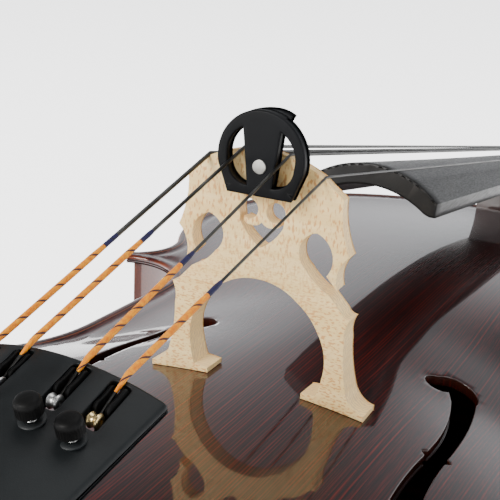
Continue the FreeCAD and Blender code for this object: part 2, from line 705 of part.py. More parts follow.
def make_tuners():
    """One lever, cross pin, screw, knob and ball end for each string."""
    pins = []
    lever, slot = size("lever_width"), size("lever_slot")
    pin, play = size("pin_dia") / 2, size("run_clearance")
    for name, seat_x, tail_x, nut_x, up, radius in STRINGS:
        drop = tail_drop(tail_x)

        def lift(y, z):
            return V(tail_x - lever / 2, y, z - drop)

        profile = [(-12.6, 0.6), (-12.6, -6.2), (-14.0, -8.0), (-27.0, -8.0), (-27.0, -10.6),
                   (-6.0, -11.0), ((-3.6, -10.2), (-3.0, -8.0)), (-3.0, -0.9), ((-3.4, 0.2), (-4.4, 0.6))]
        solid = prism(curves((-4.4, 0.6), profile, lift), V(lever, 0, 0))
        gap = Part.makeBox(slot, 12, 7.0, V(tail_x - slot / 2, -13, -drop - 5.6))
        hole = Part.makeCylinder(pin + play, 9, V(tail_x - 4.5, PIVOT[0], PIVOT[1] - drop), V(1, 0, 0))
        feature("tuner_lever_" + name, in_tail_frame(solid.cut(gap).cut(hole)))
        pins.append(Part.makeCylinder(pin, 8.2, V(tail_x - 4.1, PIVOT[0], PIVOT[1] - drop), V(1, 0, 0)))
        ball = Part.makeCylinder(size("ball_dia") / 2, size("ball_width"),
                                 V(tail_x - size("ball_width") / 2, -15.0, -drop - 1.6), V(1, 0, 0))
        feature("ball_end_" + name, in_tail_frame(ball))
        foot = in_tail_frame(Part.Vertex(tail_x, -size("screw_set"), -drop - 7.9)).Point
        up_axis = FreeCAD.Rotation(V(1, 0, 0), size("tail_slope")).multVec(V(0, 0, 1))
        screw = add("Part::Cylinder", "tuner_screw_" + name, Radius="sizes.screw_dia / 2")
        screw.Height = 12.0
        aim(screw, foot, up_axis)
        knob = add("Part::Cylinder", "tuner_head_" + name, Radius="sizes.knob_dia / 2",
                   Height="sizes.knob_height")
        aim(knob, foot + up_axis * 10.4, up_axis)
        well = add("Part::Cylinder", "tuner_well_" + name,
                   Radius="sizes.screw_dia / 2 + sizes.run_clearance")
        well.Height = 1.7
        aim(well, foot + up_axis * 10.4, up_axis)
        cut("tuner_knob_" + name, knob, well)
    feature("tuner_pins", in_tail_frame(Part.makeCompound(pins)))


# ---------------------------------------------------------------- cords and strings
def cord(points, radii):
    """Straight round runs joined by very slightly larger balls."""
    shapes = []
    for index in range(len(points) - 1):
        start, end = points[index], points[index + 1]
        shapes.append(Part.makeCylinder(radii[index], (end - start).Length, start, end - start))
        if index:
            shapes.append(Part.makeSphere(max(radii[index - 1:index + 1]) * 1.02, start))
    return shapes[0].fuse(shapes[1:]).removeSplitter()


def make_tailgut():
    length = size("tail_length")
    middle = (BACK_SEAT + TOP_SEAT) / 2
    over = TOP_EDGE + SADDLE_TOP + 1.35
    strands = []
    for side in (-1, 1):
        start = in_tail_frame(Part.Vertex(side * 6, -length + 4, -drop_end())).Point
        route = [start, V(side * 7, BOTTOM + 5.5, over), V(side * 9, BOTTOM - 2.4, over - 4),
                 V(side * 15, BOTTOM - 2.4, middle + 2), V(side * 10, BOTTOM - 2.4, middle - 13.5)]
        strands.append(cord(route, [1.25] * 4))
    link = Part.makeCylinder(1.25, 20, V(-10, BOTTOM - 2.4, middle - 13.5), V(1, 0, 0))
    balls = [Part.makeSphere(1.25, V(x, BOTTOM - 2.4, middle - 13.5)) for x in (-10, 10)]
    feature("tailgut", strands[0].fuse([strands[1], link] + balls).removeSplitter())


def string_route(name, seat_x, tail_x, nut_x, up, radius):
    """From the lever's slot over the bridge and the nut to the coil on the peg."""
    station, side = [(item[1], item[2]) for item in PEG_STATIONS if item[0] == name][0]
    drop = tail_drop(tail_x)
    ball_side = in_tail_frame(Part.Vertex(tail_x, -12.0, -drop - 1.6)).Point
    edge = in_tail_frame(Part.Vertex(tail_x, 0.3, 1.15 - drop)).Point
    bridge = V(seat_x, BRIDGE + size("bridge_top_depth") / 2, CROWN + up)
    nut_drop = nut_x ** 2 / 60
    nut = in_neck_frame(Part.Vertex(nut_x, BOARD_RUN + 2.5, 11.6 + radius - nut_drop)).Point
    coil_top = size("peg_dia") / 2 + radius
    peg = head_place((-side * 2.0, PEGBOX_START + station - 1.2, PEG_DEPTH + coil_top + 1.4 + radius))
    return [ball_side, edge, bridge, nut, peg]


def make_strings():
    for item in STRINGS:
        name, seat_x, tail_x, nut_x, up, radius = item
        ball_side, edge, bridge, nut, peg = string_route(*item)
        sleeve_end = bridge + (edge - bridge) * 0.22
        route = [ball_side, edge, sleeve_end, bridge, nut, peg]
        feature("string_" + name, cord(route, [0.8, WRAP, radius, radius, radius]))


# ---------------------------------------------------------------- endpin
def make_endpin():
    middle = (BACK_SEAT + TOP_SEAT) / 2
    out = (0, -1, 0)
    plug = add("Part::Cone", "socket_plug")
    plug.Radius1, plug.Radius2, plug.Height = 11.5, 12.4, 54
    aim(plug, (0, BOTTOM + 53.0, middle), out)
    neck = add("Part::Cylinder", "socket_neck")
    neck.Radius, neck.Height = 12.0, 5.0
    aim(neck, (0, BOTTOM, middle), out)
    collar = add("Part::Cylinder", "socket_flange", Radius="sizes.socket_dia / 2")
    collar.Height = 7
    aim(collar, (0, BOTTOM - 4.5, middle), out)
    nose = add("Part::Cylinder", "socket_sleeve", Radius="sizes.socket_nose / 2")
    nose.Height = 16
    aim(nose, (0, BOTTOM - 11, middle), out)
    solid = fuse("socket_solid", [plug, neck, collar, nose])
    bore = add("Part::Cylinder", "socket_bore", Radius="sizes.rod_dia / 2 + sizes.run_clearance")
    bore.Height = 120
    aim(bore, (0, BOTTOM + 80, middle), out)
    screw_hole = add("Part::Cylinder", "socket_screw_hole", Radius="sizes.screw_dia / 2 + 1.05")
    screw_hole.Height = 30
    aim(screw_hole, (0, BOTTOM - 20, middle), (0, 0, 1))
    tools = fuse("socket_tools", [bore, screw_hole])
    cut("endpin_socket", solid, tools)
    rod = add("Part::Cylinder", "endpin_rod", Radius="sizes.rod_dia / 2", Height="sizes.rod_length")
    aim(rod, (0, BOTTOM - 44 + size("rod_length"), middle), out)
    cap = add("Part::Cylinder", "tip_cap", Radius="sizes.tip_dia / 2", Height="sizes.tip_length - 8")
    aim(cap, (0, BOTTOM - 32, middle), out)
    ball = add("Part::Sphere", "tip_ball", Radius="sizes.tip_dia / 2")
    aim(ball, (0, BOTTOM - 54, middle), out)
    tip_solid = fuse("tip_solid", [cap, ball])
    tip_bore = add("Part::Cylinder", "tip_bore", Radius="sizes.rod_dia / 2")
    tip_bore.Height = 12
    aim(tip_bore, (0, BOTTOM - 32, middle), out)
    cut("endpin_tip", tip_solid, tip_bore)
    shank = add("Part::Cylinder", "clamp_shank", Radius="sizes.screw_dia / 2 + 1")
    shank.Height = 14
    aim(shank, (0, BOTTOM - 20, middle + size("rod_dia") / 2 + 0.1), (0, 0, 1))
    head = add("Part::Cylinder", "clamp_head")
    head.Radius, head.Height = 7.5, 9
    aim(head, (0, BOTTOM - 20, middle + 15.5), (0, 0, 1))
    fuse("endpin_screw", [shank, head])


# ---------------------------------------------------------------- build, check, write
make_plates()
make_ribs()
make_inner_parts()
make_fingerboard()
make_nut()
make_saddle()
make_neck()
make_pegs()
make_bridge()
make_mute()
make_tailpiece()
make_tuners()
make_tailgut()
make_strings()
make_endpin()
doc.recompute()

NODES = ["%s_plate_%s" % (face, name) for face in ("top", "back") for name, side in SIDES]
NODES += ["%s_rib_%s" % (bout, name) for bout in ("lower", "centre", "upper") for name, side in SIDES]
NODES += ["top_block", "bottom_block", "corner_blocks", "top_linings", "back_linings", "bass_bar"]
NODES += ["sound_post", "neck", "fingerboard", "nut", "saddle", "bridge", "mute", "mute_magnet"]
NODES += ["tailpiece", "tuner_pins"]
NODES += ["tailgut", "endpin_socket", "endpin_rod", "endpin_tip", "endpin_screw"]
for group in ("string", "string_coil", "peg", "tuner_lever", "tuner_screw", "tuner_knob", "ball_end"):
    NODES += ["%s_%s" % (group, item[0]) for item in STRINGS]

for item in doc.Objects:
    if "Invalid" in item.State or "Error" in item.State:
        raise RuntimeError("failed object: " + item.Label)
by_label = {item.Label: item for item in doc.Objects}
for node in NODES:
    shape = by_label[node].Shape
    if shape.isNull() or not shape.isValid() or not shape.Solids:
        raise RuntimeError("bad shape: " + node)
os.makedirs("parts", exist_ok=True)
for node in NODES:
    by_label[node].Shape.exportStep("parts/%s.step" % node)
print(len(NODES), "nodes written")
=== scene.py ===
"""Full-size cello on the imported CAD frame: fine meshes, varnish, silk and steel around the same bodies."""
import math

import bpy
import numpy as np
from mathutils import Matrix, Vector
from mathutils.geometry import delaunay_2d_cdt
from mathutils.kdtree import KDTree


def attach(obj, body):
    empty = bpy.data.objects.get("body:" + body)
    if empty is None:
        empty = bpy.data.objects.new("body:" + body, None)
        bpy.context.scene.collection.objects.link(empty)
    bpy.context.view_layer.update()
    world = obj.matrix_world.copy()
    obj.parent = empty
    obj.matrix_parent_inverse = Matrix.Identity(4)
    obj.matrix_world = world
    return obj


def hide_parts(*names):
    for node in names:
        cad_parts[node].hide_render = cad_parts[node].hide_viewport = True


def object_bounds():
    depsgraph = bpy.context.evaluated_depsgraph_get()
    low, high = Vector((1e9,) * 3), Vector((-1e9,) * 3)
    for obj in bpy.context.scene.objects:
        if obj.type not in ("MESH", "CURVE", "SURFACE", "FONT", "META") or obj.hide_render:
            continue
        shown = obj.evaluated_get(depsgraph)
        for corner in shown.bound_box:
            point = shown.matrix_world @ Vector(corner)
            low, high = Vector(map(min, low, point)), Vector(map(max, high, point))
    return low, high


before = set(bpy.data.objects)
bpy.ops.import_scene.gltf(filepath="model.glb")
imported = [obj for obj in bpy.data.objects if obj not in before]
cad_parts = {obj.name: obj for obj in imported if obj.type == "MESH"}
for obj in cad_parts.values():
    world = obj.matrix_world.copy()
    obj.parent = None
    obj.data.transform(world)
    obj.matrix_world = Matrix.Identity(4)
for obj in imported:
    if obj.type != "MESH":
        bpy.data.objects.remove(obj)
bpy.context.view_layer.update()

MM = 0.001
BODY = "cello_body"

# ---------------------------------------------------------------- shared dimensions (mm), as in the CAD
LENGTH, BOTTOM, BRIDGE, JOINT = 755.0, -589.0, -234.0, 166.0
BACK_SEAT, TOP_SEAT, EDGE, RISE = 27.65, 145.65, 4.5, 23.5
TOP_EDGE = TOP_SEAT + EDGE
CROWN = TOP_EDGE + RISE
MIDDLE = (BACK_SEAT + TOP_SEAT) / 2
OVERHANG, RIB = 3.0, 1.6
BOARD_RUN, NECK_SLOPE, HEAD_TILT = math.hypot(573, 86.6), math.atan2(-86.6, 573), math.radians(-8)
TAIL_SLOPE, TAIL_LENGTH, TAIL_ROUND = math.radians(16.6), 216.0, 80.0
PEGS = (("c", 30, -1), ("a", 58, 1), ("g", 90, -1), ("d", 122, 1))
PEG_DEPTH = -15.0
# name, x on the bridge, on the tailpiece and on the nut, height above the bridge feet, radius
STRINGS = (
    ("c", -23.2, -21.2, -11.3, 86.6, 0.80),
    ("g", -9.1, -9.3, -3.8, 91.1, 0.66),
    ("d", 9.1, 9.3, 3.8, 90.8, 0.55),
    ("a", 23.2, 21.2, 11.3, 84.9, 0.50),
)


def shifted(*by):
    return Matrix.Translation(by)


def tilted(origin, angle):
    return shifted(*origin) @ Matrix.Rotation(angle, 4, "X")


NECK_FRAME = tilted((0, BRIDGE + 107, CROWN + 46), NECK_SLOPE)
HEAD_FRAME = tilted(NECK_FRAME @ Vector((0, BOARD_RUN, 0)), NECK_SLOPE + HEAD_TILT)
TAIL_FRAME = tilted((0, BRIDGE - 118, CROWN + 57.8), TAIL_SLOPE)
BRIDGE_FRAME = shifted(0, BRIDGE, CROWN)
BODY_FRAME = shifted(0, BOTTOM, 0)
FLAT = Matrix.Identity(4)
UPRIGHT, SIDE_ON = (Matrix.Rotation(math.pi / 2, 4, axis) for axis in "XY")


# ---------------------------------------------------------------- plane curves
def arc_through(a, m, b, spacing):
    """Points of the arc from a to b through m, without a."""
    a, m, b = (np.array(p, float) for p in (a, m, b))
    grid = 2 * np.array([m - a, b - a])
    centre = np.linalg.solve(grid, [m @ m - a @ a, b @ b - a @ a])
    first, middle, last = (math.atan2(*(p - centre)[::-1]) for p in (a, m, b))
    turn = (last - first) % (2 * math.pi)
    if (middle - first) % (2 * math.pi) > turn:
        turn -= 2 * math.pi
    radius = np.linalg.norm(a - centre)
    count = max(2, math.ceil(abs(turn) * radius / spacing))
    angles = first + turn * np.arange(1, count + 1) / count
    return centre + radius * np.stack([np.cos(angles), np.sin(angles)], 1)


def trace(start, steps, spacing=1.0):
    """The points of a chain of lines (a point) and arcs (a pair: middle, end)."""
    found = [np.array([start], float)]
    for step in steps:
        here = found[-1][-1]
        if isinstance(step[0], tuple):
            found.append(arc_through(here, step[0], step[1], spacing))
        else:
            end = np.array(step, float)
            count = max(1, math.ceil(np.linalg.norm(end - here) / spacing))
            found.append(here + (end - here) * np.arange(1, count + 1)[:, None] / count)
    return np.concatenate(found)


def both_sides(half):
    """A closed loop from a half that begins and ends on the axis x = 0."""
    return np.concatenate([half, half[-2:0:-1] * [-1, 1]])


def circle(centre, radius, count=48):
    angle = np.arange(count) * 2 * math.pi / count
    return np.array(centre) + radius * np.stack([np.cos(angle), np.sin(angle)], 1)


def area(loop):
    x, y = loop[:, 0], loop[:, 1]
    return 0.5 * np.sum(x * np.roll(y, -1) - y * np.roll(x, -1))


def offset(loop, depth, material_inside=True):
    """The loop moved into the material by a depth, one number or one for each point."""
    way = 1 if (area(loop) > 0) == material_inside else -1
    ahead = np.roll(loop, -1, 0) - loop
    ahead /= np.linalg.norm(ahead, axis=1)[:, None] + 1e-12
    behind = np.roll(ahead, 1, 0)
    normal = ahead + behind
    normal = np.stack([-normal[:, 1], normal[:, 0]], 1)
    length = np.linalg.norm(normal, axis=1)[:, None] + 1e-9
    mitre = np.clip(2 / length, 1, 1.6)
    return loop + way * normal / length * mitre * np.reshape(depth, (-1, 1))


def inside(points, loop):
    """Even-odd test of many points against one loop."""
    hit = np.zeros(len(points), bool)
    x, y = points[:, 0], points[:, 1]
    for a, b in zip(loop, np.roll(loop, -1, 0)):
        if a[1] != b[1]:
            span = (a[1] > y) != (b[1] > y)
            hit ^= span & (x < (b[0] - a[0]) * (y - a[1]) / (b[1] - a[1]) + a[0])
    return hit


def near(points, loop):
    """Distance from each point to the nearest one of a dense loop."""
    tree = KDTree(len(loop))
    for index, (x, y) in enumerate(loop.tolist()):
        tree.insert((x, y, 0), index)
    tree.balance()
    return np.array([tree.find((x, y, 0))[2] for x, y in points[:, :2].tolist()])


# ---------------------------------------------------------------- meshes
def level(height):
    """A height function that is the same everywhere."""
    return lambda points: np.full(len(points), float(height))


def moved(part, place):
    turn = np.array(place)
    return part[0] @ turn[:3, :3].T + turn[:3, 3], part[1]


def build(name, part, slot, place=FLAT, nodes=(), body=BODY, smooth=35, **stored):
    """A piece from a part in mm: placed, shaded, riding on its body and standing for its CAD nodes.

    A part is (points, faces), and may bring its own values stored on the points."""
    points, faces = moved((np.asarray(part[0], float), part[1]), place)
    mesh = bpy.data.meshes.new(name)
    mesh.from_pydata((points * MM).tolist(), [], [tuple(int(i) for i in face) for face in faces])
    mesh.validate()
    for key, values in (part[2] if len(part) > 2 else stored).items():
        layer = mesh.attributes.new(key, "FLOAT", "POINT")
        layer.data.foreach_set("value", np.full(len(points), values, np.float32))
    mesh.polygons.foreach_set("use_smooth", [True] * len(mesh.polygons))
    mesh.set_sharp_from_angle(angle=math.radians(smooth))
    piece = bpy.data.objects.new(name, mesh)
    bpy.context.scene.collection.objects.link(piece)
    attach(piece, body)
    if nodes:
        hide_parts(*([nodes] if isinstance(nodes, str) else nodes))
    mesh.materials.append(MATERIALS[slot])


def triangles(loops, spacing, extra_points=()):
    """Triangles that fill the first loop and spare the others; grid points fill the inside."""
    points, edges, start = [], [], 0
    for loop in loops:
        count = len(loop)
        points.append(loop)
        edges += [(start + i, start + (i + 1) % count) for i in range(count)]
        start += count
    border = np.concatenate(points)
    low, high = loops[0].min(0), loops[0].max(0)
    columns, rows = np.ceil((high - low) / spacing).astype(int) + 1
    centre = (low + high) / 2
    grid = np.stack(np.meshgrid(np.arange(columns) - (columns - 1) / 2, np.arange(rows) - (rows - 1) / 2), -1)
    grid = centre + grid.reshape(-1, 2) * spacing
    if len(extra_points):
        grid = np.concatenate([grid, extra_points])
    keep = inside(grid, loops[0])
    for loop in loops[1:]:
        keep &= ~inside(grid, loop)
    grid = grid[keep]
    if len(grid):
        grid = grid[near(grid, border) > (0.4 if len(extra_points) else spacing * 0.4)]
    everything = [Vector(p) for p in np.concatenate([border, grid])]
    verts, _, faces, *_ = delaunay_2d_cdt(everything, edges, [], 0, 1e-5)
    verts = np.array([tuple(v) for v in verts])
    faces = np.array([f for f in faces if len(f) == 3])
    middle = verts[faces].mean(1)
    keep = inside(middle, loops[0])
    for loop in loops[1:]:
        keep &= ~inside(middle, loop)
    return verts, faces[keep]


def slab(loops, front, back, round_by, spacing=4.0, segments=3, extra_points=()):
    """A plate between two height functions of the plane, with a rounded rim in front.

    Returns points (u, v, height) and faces; round_by is the rim radius, a number or a function of points.
    The rim at the back runs from its face to the wall, as the one in front does, so the back face lies off
    it by the radius and the edge is open there."""
    points, faces, rims, start = [], [], [], 0

    def push(block):
        nonlocal start
        points.append(block)
        first, start = start, start + len(block)
        return first

    depth_of = round_by if callable(round_by) else level(round_by)
    for index, loop in enumerate(loops):
        depth, count = depth_of(loop), len(loop)
        ring = []
        for height, sign in ((front, -1), (back, 1)):
            for step in range(segments + 1):
                angle = math.pi / 2 * (1 - step / segments)
                flat = offset(loop, depth * (1 - math.cos(angle)), index == 0)
                ring.append(np.column_stack([flat, height(flat) + sign * depth * (1 - math.sin(angle))]))
        rims.append((ring[0][:, :2], ring[-1][:, :2]))
        firsts = [push(block) for block in ring]
        turn = 1 if (area(loop) > 0) != (index == 0) else -1
        for one, two in zip(firsts, firsts[1:]):
            for i in range(count):
                j = (i + 1) % count
                faces.append((one + i, one + j, two + j, two + i)[::turn])
    for side, height in ((0, front), (1, back)):
        flat, tris = triangles([rim[side] for rim in rims], spacing, extra_points)
        first = push(np.column_stack([flat, height(flat)]))
        for tri in tris:
            upward = (area(flat[tri]) > 0) == (side == 0)
            faces.append(tuple(first + (tri if upward else tri[::-1])))
    return weld(np.concatenate(points), faces)


def weld(points, faces, grain=1e-4):
    """Joins points that coincide."""
    keys, index = np.unique(np.round(points / grain).astype(np.int64), axis=0, return_inverse=True)
    index = index.reshape(-1)
    first = np.zeros(len(keys), int)
    first[index[::-1]] = np.arange(len(points))[::-1]
    joined = []
    for face in faces:
        ring = [index[i] for i in face]
        ring = [p for k, p in enumerate(ring) if p != ring[k - 1]]
        if len(ring) > 2:
            joined.append(ring)
    return points[first], joined


def loft(rings, caps=True, closed=True):
    """Quads between rings of equally many points."""
    count = len(rings[0])
    points = np.concatenate(rings)
    faces = []
    for low in range(len(rings) - 1):
        for i in range(count if closed else count - 1):
            j = (i + 1) % count
            here, above = low * count, (low + 1) * count
            faces.append((here + i, here + j, above + j, above + i))
    if caps:
        faces.append(tuple(range(count))[::-1])
        faces.append(tuple((len(rings) - 1) * count + i for i in range(count)))
    return points, faces


def lathe(profile, count=48):
    """A solid of revolution about +Z from (radius, height) points, the ends closed."""
    angle = np.arange(count) * 2 * math.pi / count
    rings = [np.column_stack([r * np.cos(angle), r * np.sin(angle), np.full(count, z)]) for r, z in profile]
    return loft(rings)


def bored(profile, count=48):
    """A solid of revolution with a bore: the profile is closed, its last ring meets its first."""
    points, faces = lathe(profile, count)
    last = (len(profile) - 1) * count
    return points, faces[:-2] + [(i, (i + 1) % count, last + (i + 1) % count, last + i) for i in range(count)]


def merged(parts):
    """Several (points, faces) as one."""
    points, faces, start = [], [], 0
    for block, some in parts:
        points.append(block)
        faces += [tuple(i + start for i in face) for face in some]
        start += len(block)
    return np.concatenate(points), faces


# ---------------------------------------------------------------- materials
class Graph:
    """A short way to write a material's nodes."""

    def __init__(self, name):
        self.material = bpy.data.materials.new(name)
        self.material.use_nodes = True
        self.tree = self.material.node_tree
        self.shader = self.tree.nodes["Principled BSDF"]
        where = self.add("ShaderNodeTexCoord")
        self.place = where.outputs["Object"]

    def add(self, kind, inputs=None, **settings):
        node = self.tree.nodes.new(kind)
        for key, value in settings.items():
            setattr(node, key, value)
        self.feed(node, inputs or {})
        return node

    def feed(self, node, inputs):
        for key, value in inputs.items():
            socket = node.inputs[key]
            if isinstance(value, bpy.types.NodeSocket):
                self.tree.links.new(value, socket)
            else:
                plain = isinstance(value, tuple) and len(value) == 3 and socket.type == "RGBA"
                socket.default_value = (*value, 1) if plain else value

    def stretched(self, scale, turn=(0, 0, 0)):
        """Object position in metres times a scale for each axis."""
        node = self.add("ShaderNodeMapping", {"Vector": self.place, "Scale": scale, "Rotation": turn})
        return node.outputs["Vector"]

    def noise(self, vector, scale=1.0, detail=3.0, rough=0.5, distort=0.0):
        node = self.add("ShaderNodeTexNoise", {"Vector": vector, "Scale": scale, "Detail": detail,
                                               "Roughness": rough, "Distortion": distort})
        return node.outputs["Fac"]

    def grain(self, scale, detail=3.0, rough=0.5, distort=0.0):
        """Noise over the object's own place, stretched by a scale for each axis."""
        return self.noise(self.stretched(scale), 1.0, detail, rough, distort)

    def math(self, operation, a, b=0.5, c=0.5):
        node = self.add("ShaderNodeMath", {0: a, 1: b, 2: c}, operation=operation)
        return node.outputs[0]

    def total(self, first, *others):
        """The weighted sum of (value, weight) pairs."""
        sum_so_far = self.math("MULTIPLY", *first)
        for value, weight in others:
            sum_so_far = self.math("MULTIPLY_ADD", value, weight, sum_so_far)
        return sum_so_far

    def ramp(self, value, stops):
        """A colour ramp; stops are (place, colour)."""
        node = self.add("ShaderNodeValToRGB", {"Fac": value})
        while len(node.color_ramp.elements) < len(stops):
            node.color_ramp.elements.new(0.5)
        for item, (spot, colour) in zip(node.color_ramp.elements, stops):
            item.position, item.color = spot, (*colour, 1)
        return node.outputs["Color"]

    def mix(self, share, a, b):
        return self.add("ShaderNodeMix", {0: share, 6: a, 7: b}, data_type="RGBA").outputs[2]

    def spread(self, value, low, high, out_low=0.0, out_high=1.0):
        node = self.add("ShaderNodeMapRange", {"Value": value, "From Min": low, "From Max": high,
                                               "To Min": out_low, "To Max": out_high})
        return node.outputs["Result"]

    def attribute(self, name):
        return self.add("ShaderNodeAttribute", attribute_name=name).outputs["Fac"]

    def bump(self, height, strength, distance, under=None):
        inputs = {"Height": height, "Strength": strength, "Distance": distance}
        if under is not None:
            inputs["Normal"] = under
        return self.add("ShaderNodeBump", inputs).outputs["Normal"]

    def finish(self, **sockets):
        self.feed(self.shader, {key.replace("_", " "): value for key, value in sockets.items()})
        return self.material


def scaled(tone, by):
    return tuple(c * by for c in tone)


def edge_wear(graph, colour, worn, reach=0.8):
    """Lightens the arrises, where the surface turns sharply."""
    pointy = graph.add("ShaderNodeNewGeometry").outputs["Pointiness"]
    return graph.mix(graph.spread(pointy, 0.53, 0.60, 0, reach), colour, worn)


def purfling(graph, colour, rim, fill):
    """Two dark lines with a lighter strip between them; rim is the distance from the edge in mm."""
    lines = [graph.math("COMPARE", rim, distance, 0.22) for distance in (4.15, 5.25)]
    colour = graph.mix(graph.math("COMPARE", rim, 4.7, 0.33), colour, fill)
    return graph.mix(graph.math("MAXIMUM", *lines), colour, (0.006, 0.003, 0.002))


def varnished_spruce():
    """Deep red-brown varnish over straight spruce grain, with purfling and lighter rims."""
    g = Graph("top_varnish")
    sway = g.grain((6, 1.5, 6), 2.0)
    x = g.add("ShaderNodeSeparateXYZ", {"Vector": g.place}).outputs["X"]
    bent = g.math("MULTIPLY_ADD", sway, 0.006, x)
    line = g.add("ShaderNodeCombineXYZ", {"X": bent}).outputs["Vector"]
    rings = g.noise(line, 950.0, 2.0, 0.6)
    fibres = g.grain((1900, 26, 1900), 2.0, 0.6)
    patches = g.grain((9, 3.5, 9), 3.0, 0.55)
    waves = g.math("SINE", g.math("MULTIPLY", bent, 5000.0))
    grain = g.total((rings, 0.75), (fibres, 0.35), (patches, 0.22), (waves, 0.055))
    colour = g.ramp(grain, [(0.54, (0.002, 0.0002, 0.0002)), (0.64, (0.014, 0.0004, 0.0003)),
                            (0.73, (0.055, 0.0016, 0.0005)), (0.88, (0.14, 0.006, 0.0008))])
    rim = g.attribute("rim")
    colour = purfling(g, colour, rim, (0.15, 0.036, 0.012))
    worn = g.spread(rim, 0.2, 2.6, 0.85, 0.0)
    worn = g.math("MULTIPLY", worn, g.spread(g.grain((55, 55, 55), 4.0), 0.3, 0.65))
    colour = g.mix(worn, colour, (0.27, 0.058, 0.016))
    hole = g.spread(g.attribute("hole"), 0.05, 0.7, 0.85, 0.0)
    colour = g.mix(hole, colour, (0.022, 0.005, 0.002))
    under = g.bump(grain, 0.12, 0.0004)
    sheen = g.grain((16, 8, 16), 2.0)
    coat = g.bump(sheen, 0.02, 0.004)
    coat = g.bump(g.grain((900, 30, 900), 2.0), 0.018, 0.0003, coat)
    return g.finish(Base_Color=colour, Roughness=0.42, Specular_IOR_Level=0.15, Normal=under, Coat_Weight=1.0,
                    Coat_Roughness=0.045, Coat_IOR=1.5, Coat_Normal=coat)


def varnished_maple():
    """The same varnish over flamed maple; the flame runs across the piece."""
    g = Graph("back_varnish")
    sway = g.grain((7, 3, 7), 2.0)
    flame = g.grain((9, 95, 9), 2.0, 0.45, 0.6)
    fibres = g.grain((1100, 60, 1100), 3.0, 0.6)
    tone = g.total((flame, 0.75), (fibres, 0.25), (sway, 0.2))
    colour = g.ramp(tone, [(0.42, (0.007, 0.0011, 0.0008)), (0.58, (0.024, 0.0026, 0.0012)),
                           (0.72, (0.065, 0.0085, 0.003)), (0.86, (0.13, 0.022, 0.006))])
    rim = g.attribute("rim")
    colour = purfling(g, colour, rim, (0.16, 0.045, 0.014))
    colour = edge_wear(g, colour, (0.22, 0.060, 0.018), 0.6)
    under = g.bump(tone, 0.08, 0.0004)
    coat = g.bump(g.grain((26, 26, 26), 3.0), 0.035, 0.004)
    return g.finish(Base_Color=colour, Roughness=0.4, Normal=under, Coat_Weight=1.0, Coat_Roughness=0.06,
                    Coat_IOR=1.52, Coat_Normal=coat)


def bare_spruce():
    g = Graph("bare_spruce")
    rings = g.grain((420, 6, 420), 2.0)
    fibres = g.grain((1500, 40, 1500), 3.0)
    tone = g.total((rings, 0.6), (fibres, 0.4))
    colour = g.ramp(tone, [(0.38, (0.46, 0.28, 0.13)), (0.52, (0.68, 0.48, 0.27)), (0.66, (0.78, 0.60, 0.38))])
    return g.finish(Base_Color=colour, Roughness=g.spread(tone, 0.3, 0.7, 0.62, 0.8),
                    Normal=g.bump(tone, 0.2, 0.0003))


def ebony():
    g = Graph("ebony")
    pores = g.grain((1500, 90, 1500), 3.0, 0.65)
    streak = g.grain((120, 5, 120), 3.0)
    tone = g.total((streak, 0.6), (pores, 0.4))
    colour = g.ramp(tone, [(0.40, (0.002, 0.0018, 0.0018)), (0.58, (0.005, 0.0045, 0.0042)),
                           (0.72, (0.013, 0.010, 0.008))])
    colour = edge_wear(g, colour, (0.03, 0.026, 0.024), 0.5)
    rough = g.spread(pores, 0.35, 0.7, 0.36, 0.5)
    return g.finish(Base_Color=colour, Roughness=rough, Specular_IOR_Level=0.22,
                    Normal=g.bump(pores, 0.10, 0.0002))


def bridge_maple():
    """Pale maple: short rays across the faces, and a wavy figure on the cut edges."""
    g = Graph("bridge_maple")
    normal = g.add("ShaderNodeNewGeometry").outputs["Normal"]
    facing = g.math("ABSOLUTE", g.add("ShaderNodeSeparateXYZ", {"Vector": normal}).outputs["Y"])
    face = g.spread(facing, 0.55, 0.9)
    long = g.grain((14, 14, 420), 3.0, 0.6, 0.3)
    warm = g.grain((22, 22, 34), 3.0)
    colour = g.ramp(long, [(0.30, (0.80, 0.56, 0.235)), (0.50, (0.86, 0.63, 0.285)),
                           (0.70, (0.90, 0.68, 0.335))])
    colour = g.mix(g.spread(warm, 0.45, 0.75, 0, 0.4), colour, (0.82, 0.53, 0.20))
    height = g.add("ShaderNodeSeparateXYZ", {"Vector": g.place}).outputs["Z"]
    high = g.spread(height, 0.235, 0.205, 0, 1)
    dashes = g.spread(g.grain((1150, 300, 400), 1.5, 0.5), 0.545, 0.625)
    specks = g.spread(g.grain((640, 300, 1500), 1.5, 0.5), 0.53, 0.61)
    rays = g.math("MULTIPLY_ADD", high, g.math("SUBTRACT", specks, dashes), dashes)
    rays = g.math("MULTIPLY", rays, g.math("MULTIPLY", face, 0.66))
    colour = g.mix(rays, colour, (0.56, 0.19, 0.03))
    wave = g.add("ShaderNodeTexWave", {"Vector": g.stretched((330, 330, 330), (0.5, 0.25, 0.9)), "Scale": 1.0,
                                       "Distortion": 7.0, "Detail": 2.0, "Detail Scale": 1.5}).outputs["Fac"]
    edge = g.math("MULTIPLY", g.spread(face, 0.0, 0.6, 0.75, 0.0), g.spread(wave, 0.35, 0.8))
    colour = g.mix(edge, colour, (0.60, 0.405, 0.235))
    soil = g.spread(g.grain((60, 60, 60), 4.0), 0.5, 0.8, 0, 0.12)
    colour = g.mix(soil, colour, (0.52, 0.37, 0.24))
    relief = g.total((rays, -0.8), (long, 0.6))
    return g.finish(Base_Color=colour, Roughness=g.spread(long, 0.3, 0.7, 0.5, 0.62),
                    Normal=g.bump(relief, 0.08, 0.0002), Subsurface_Weight=0.04, Subsurface_Scale=0.001,
                    Specular_IOR_Level=0.35)


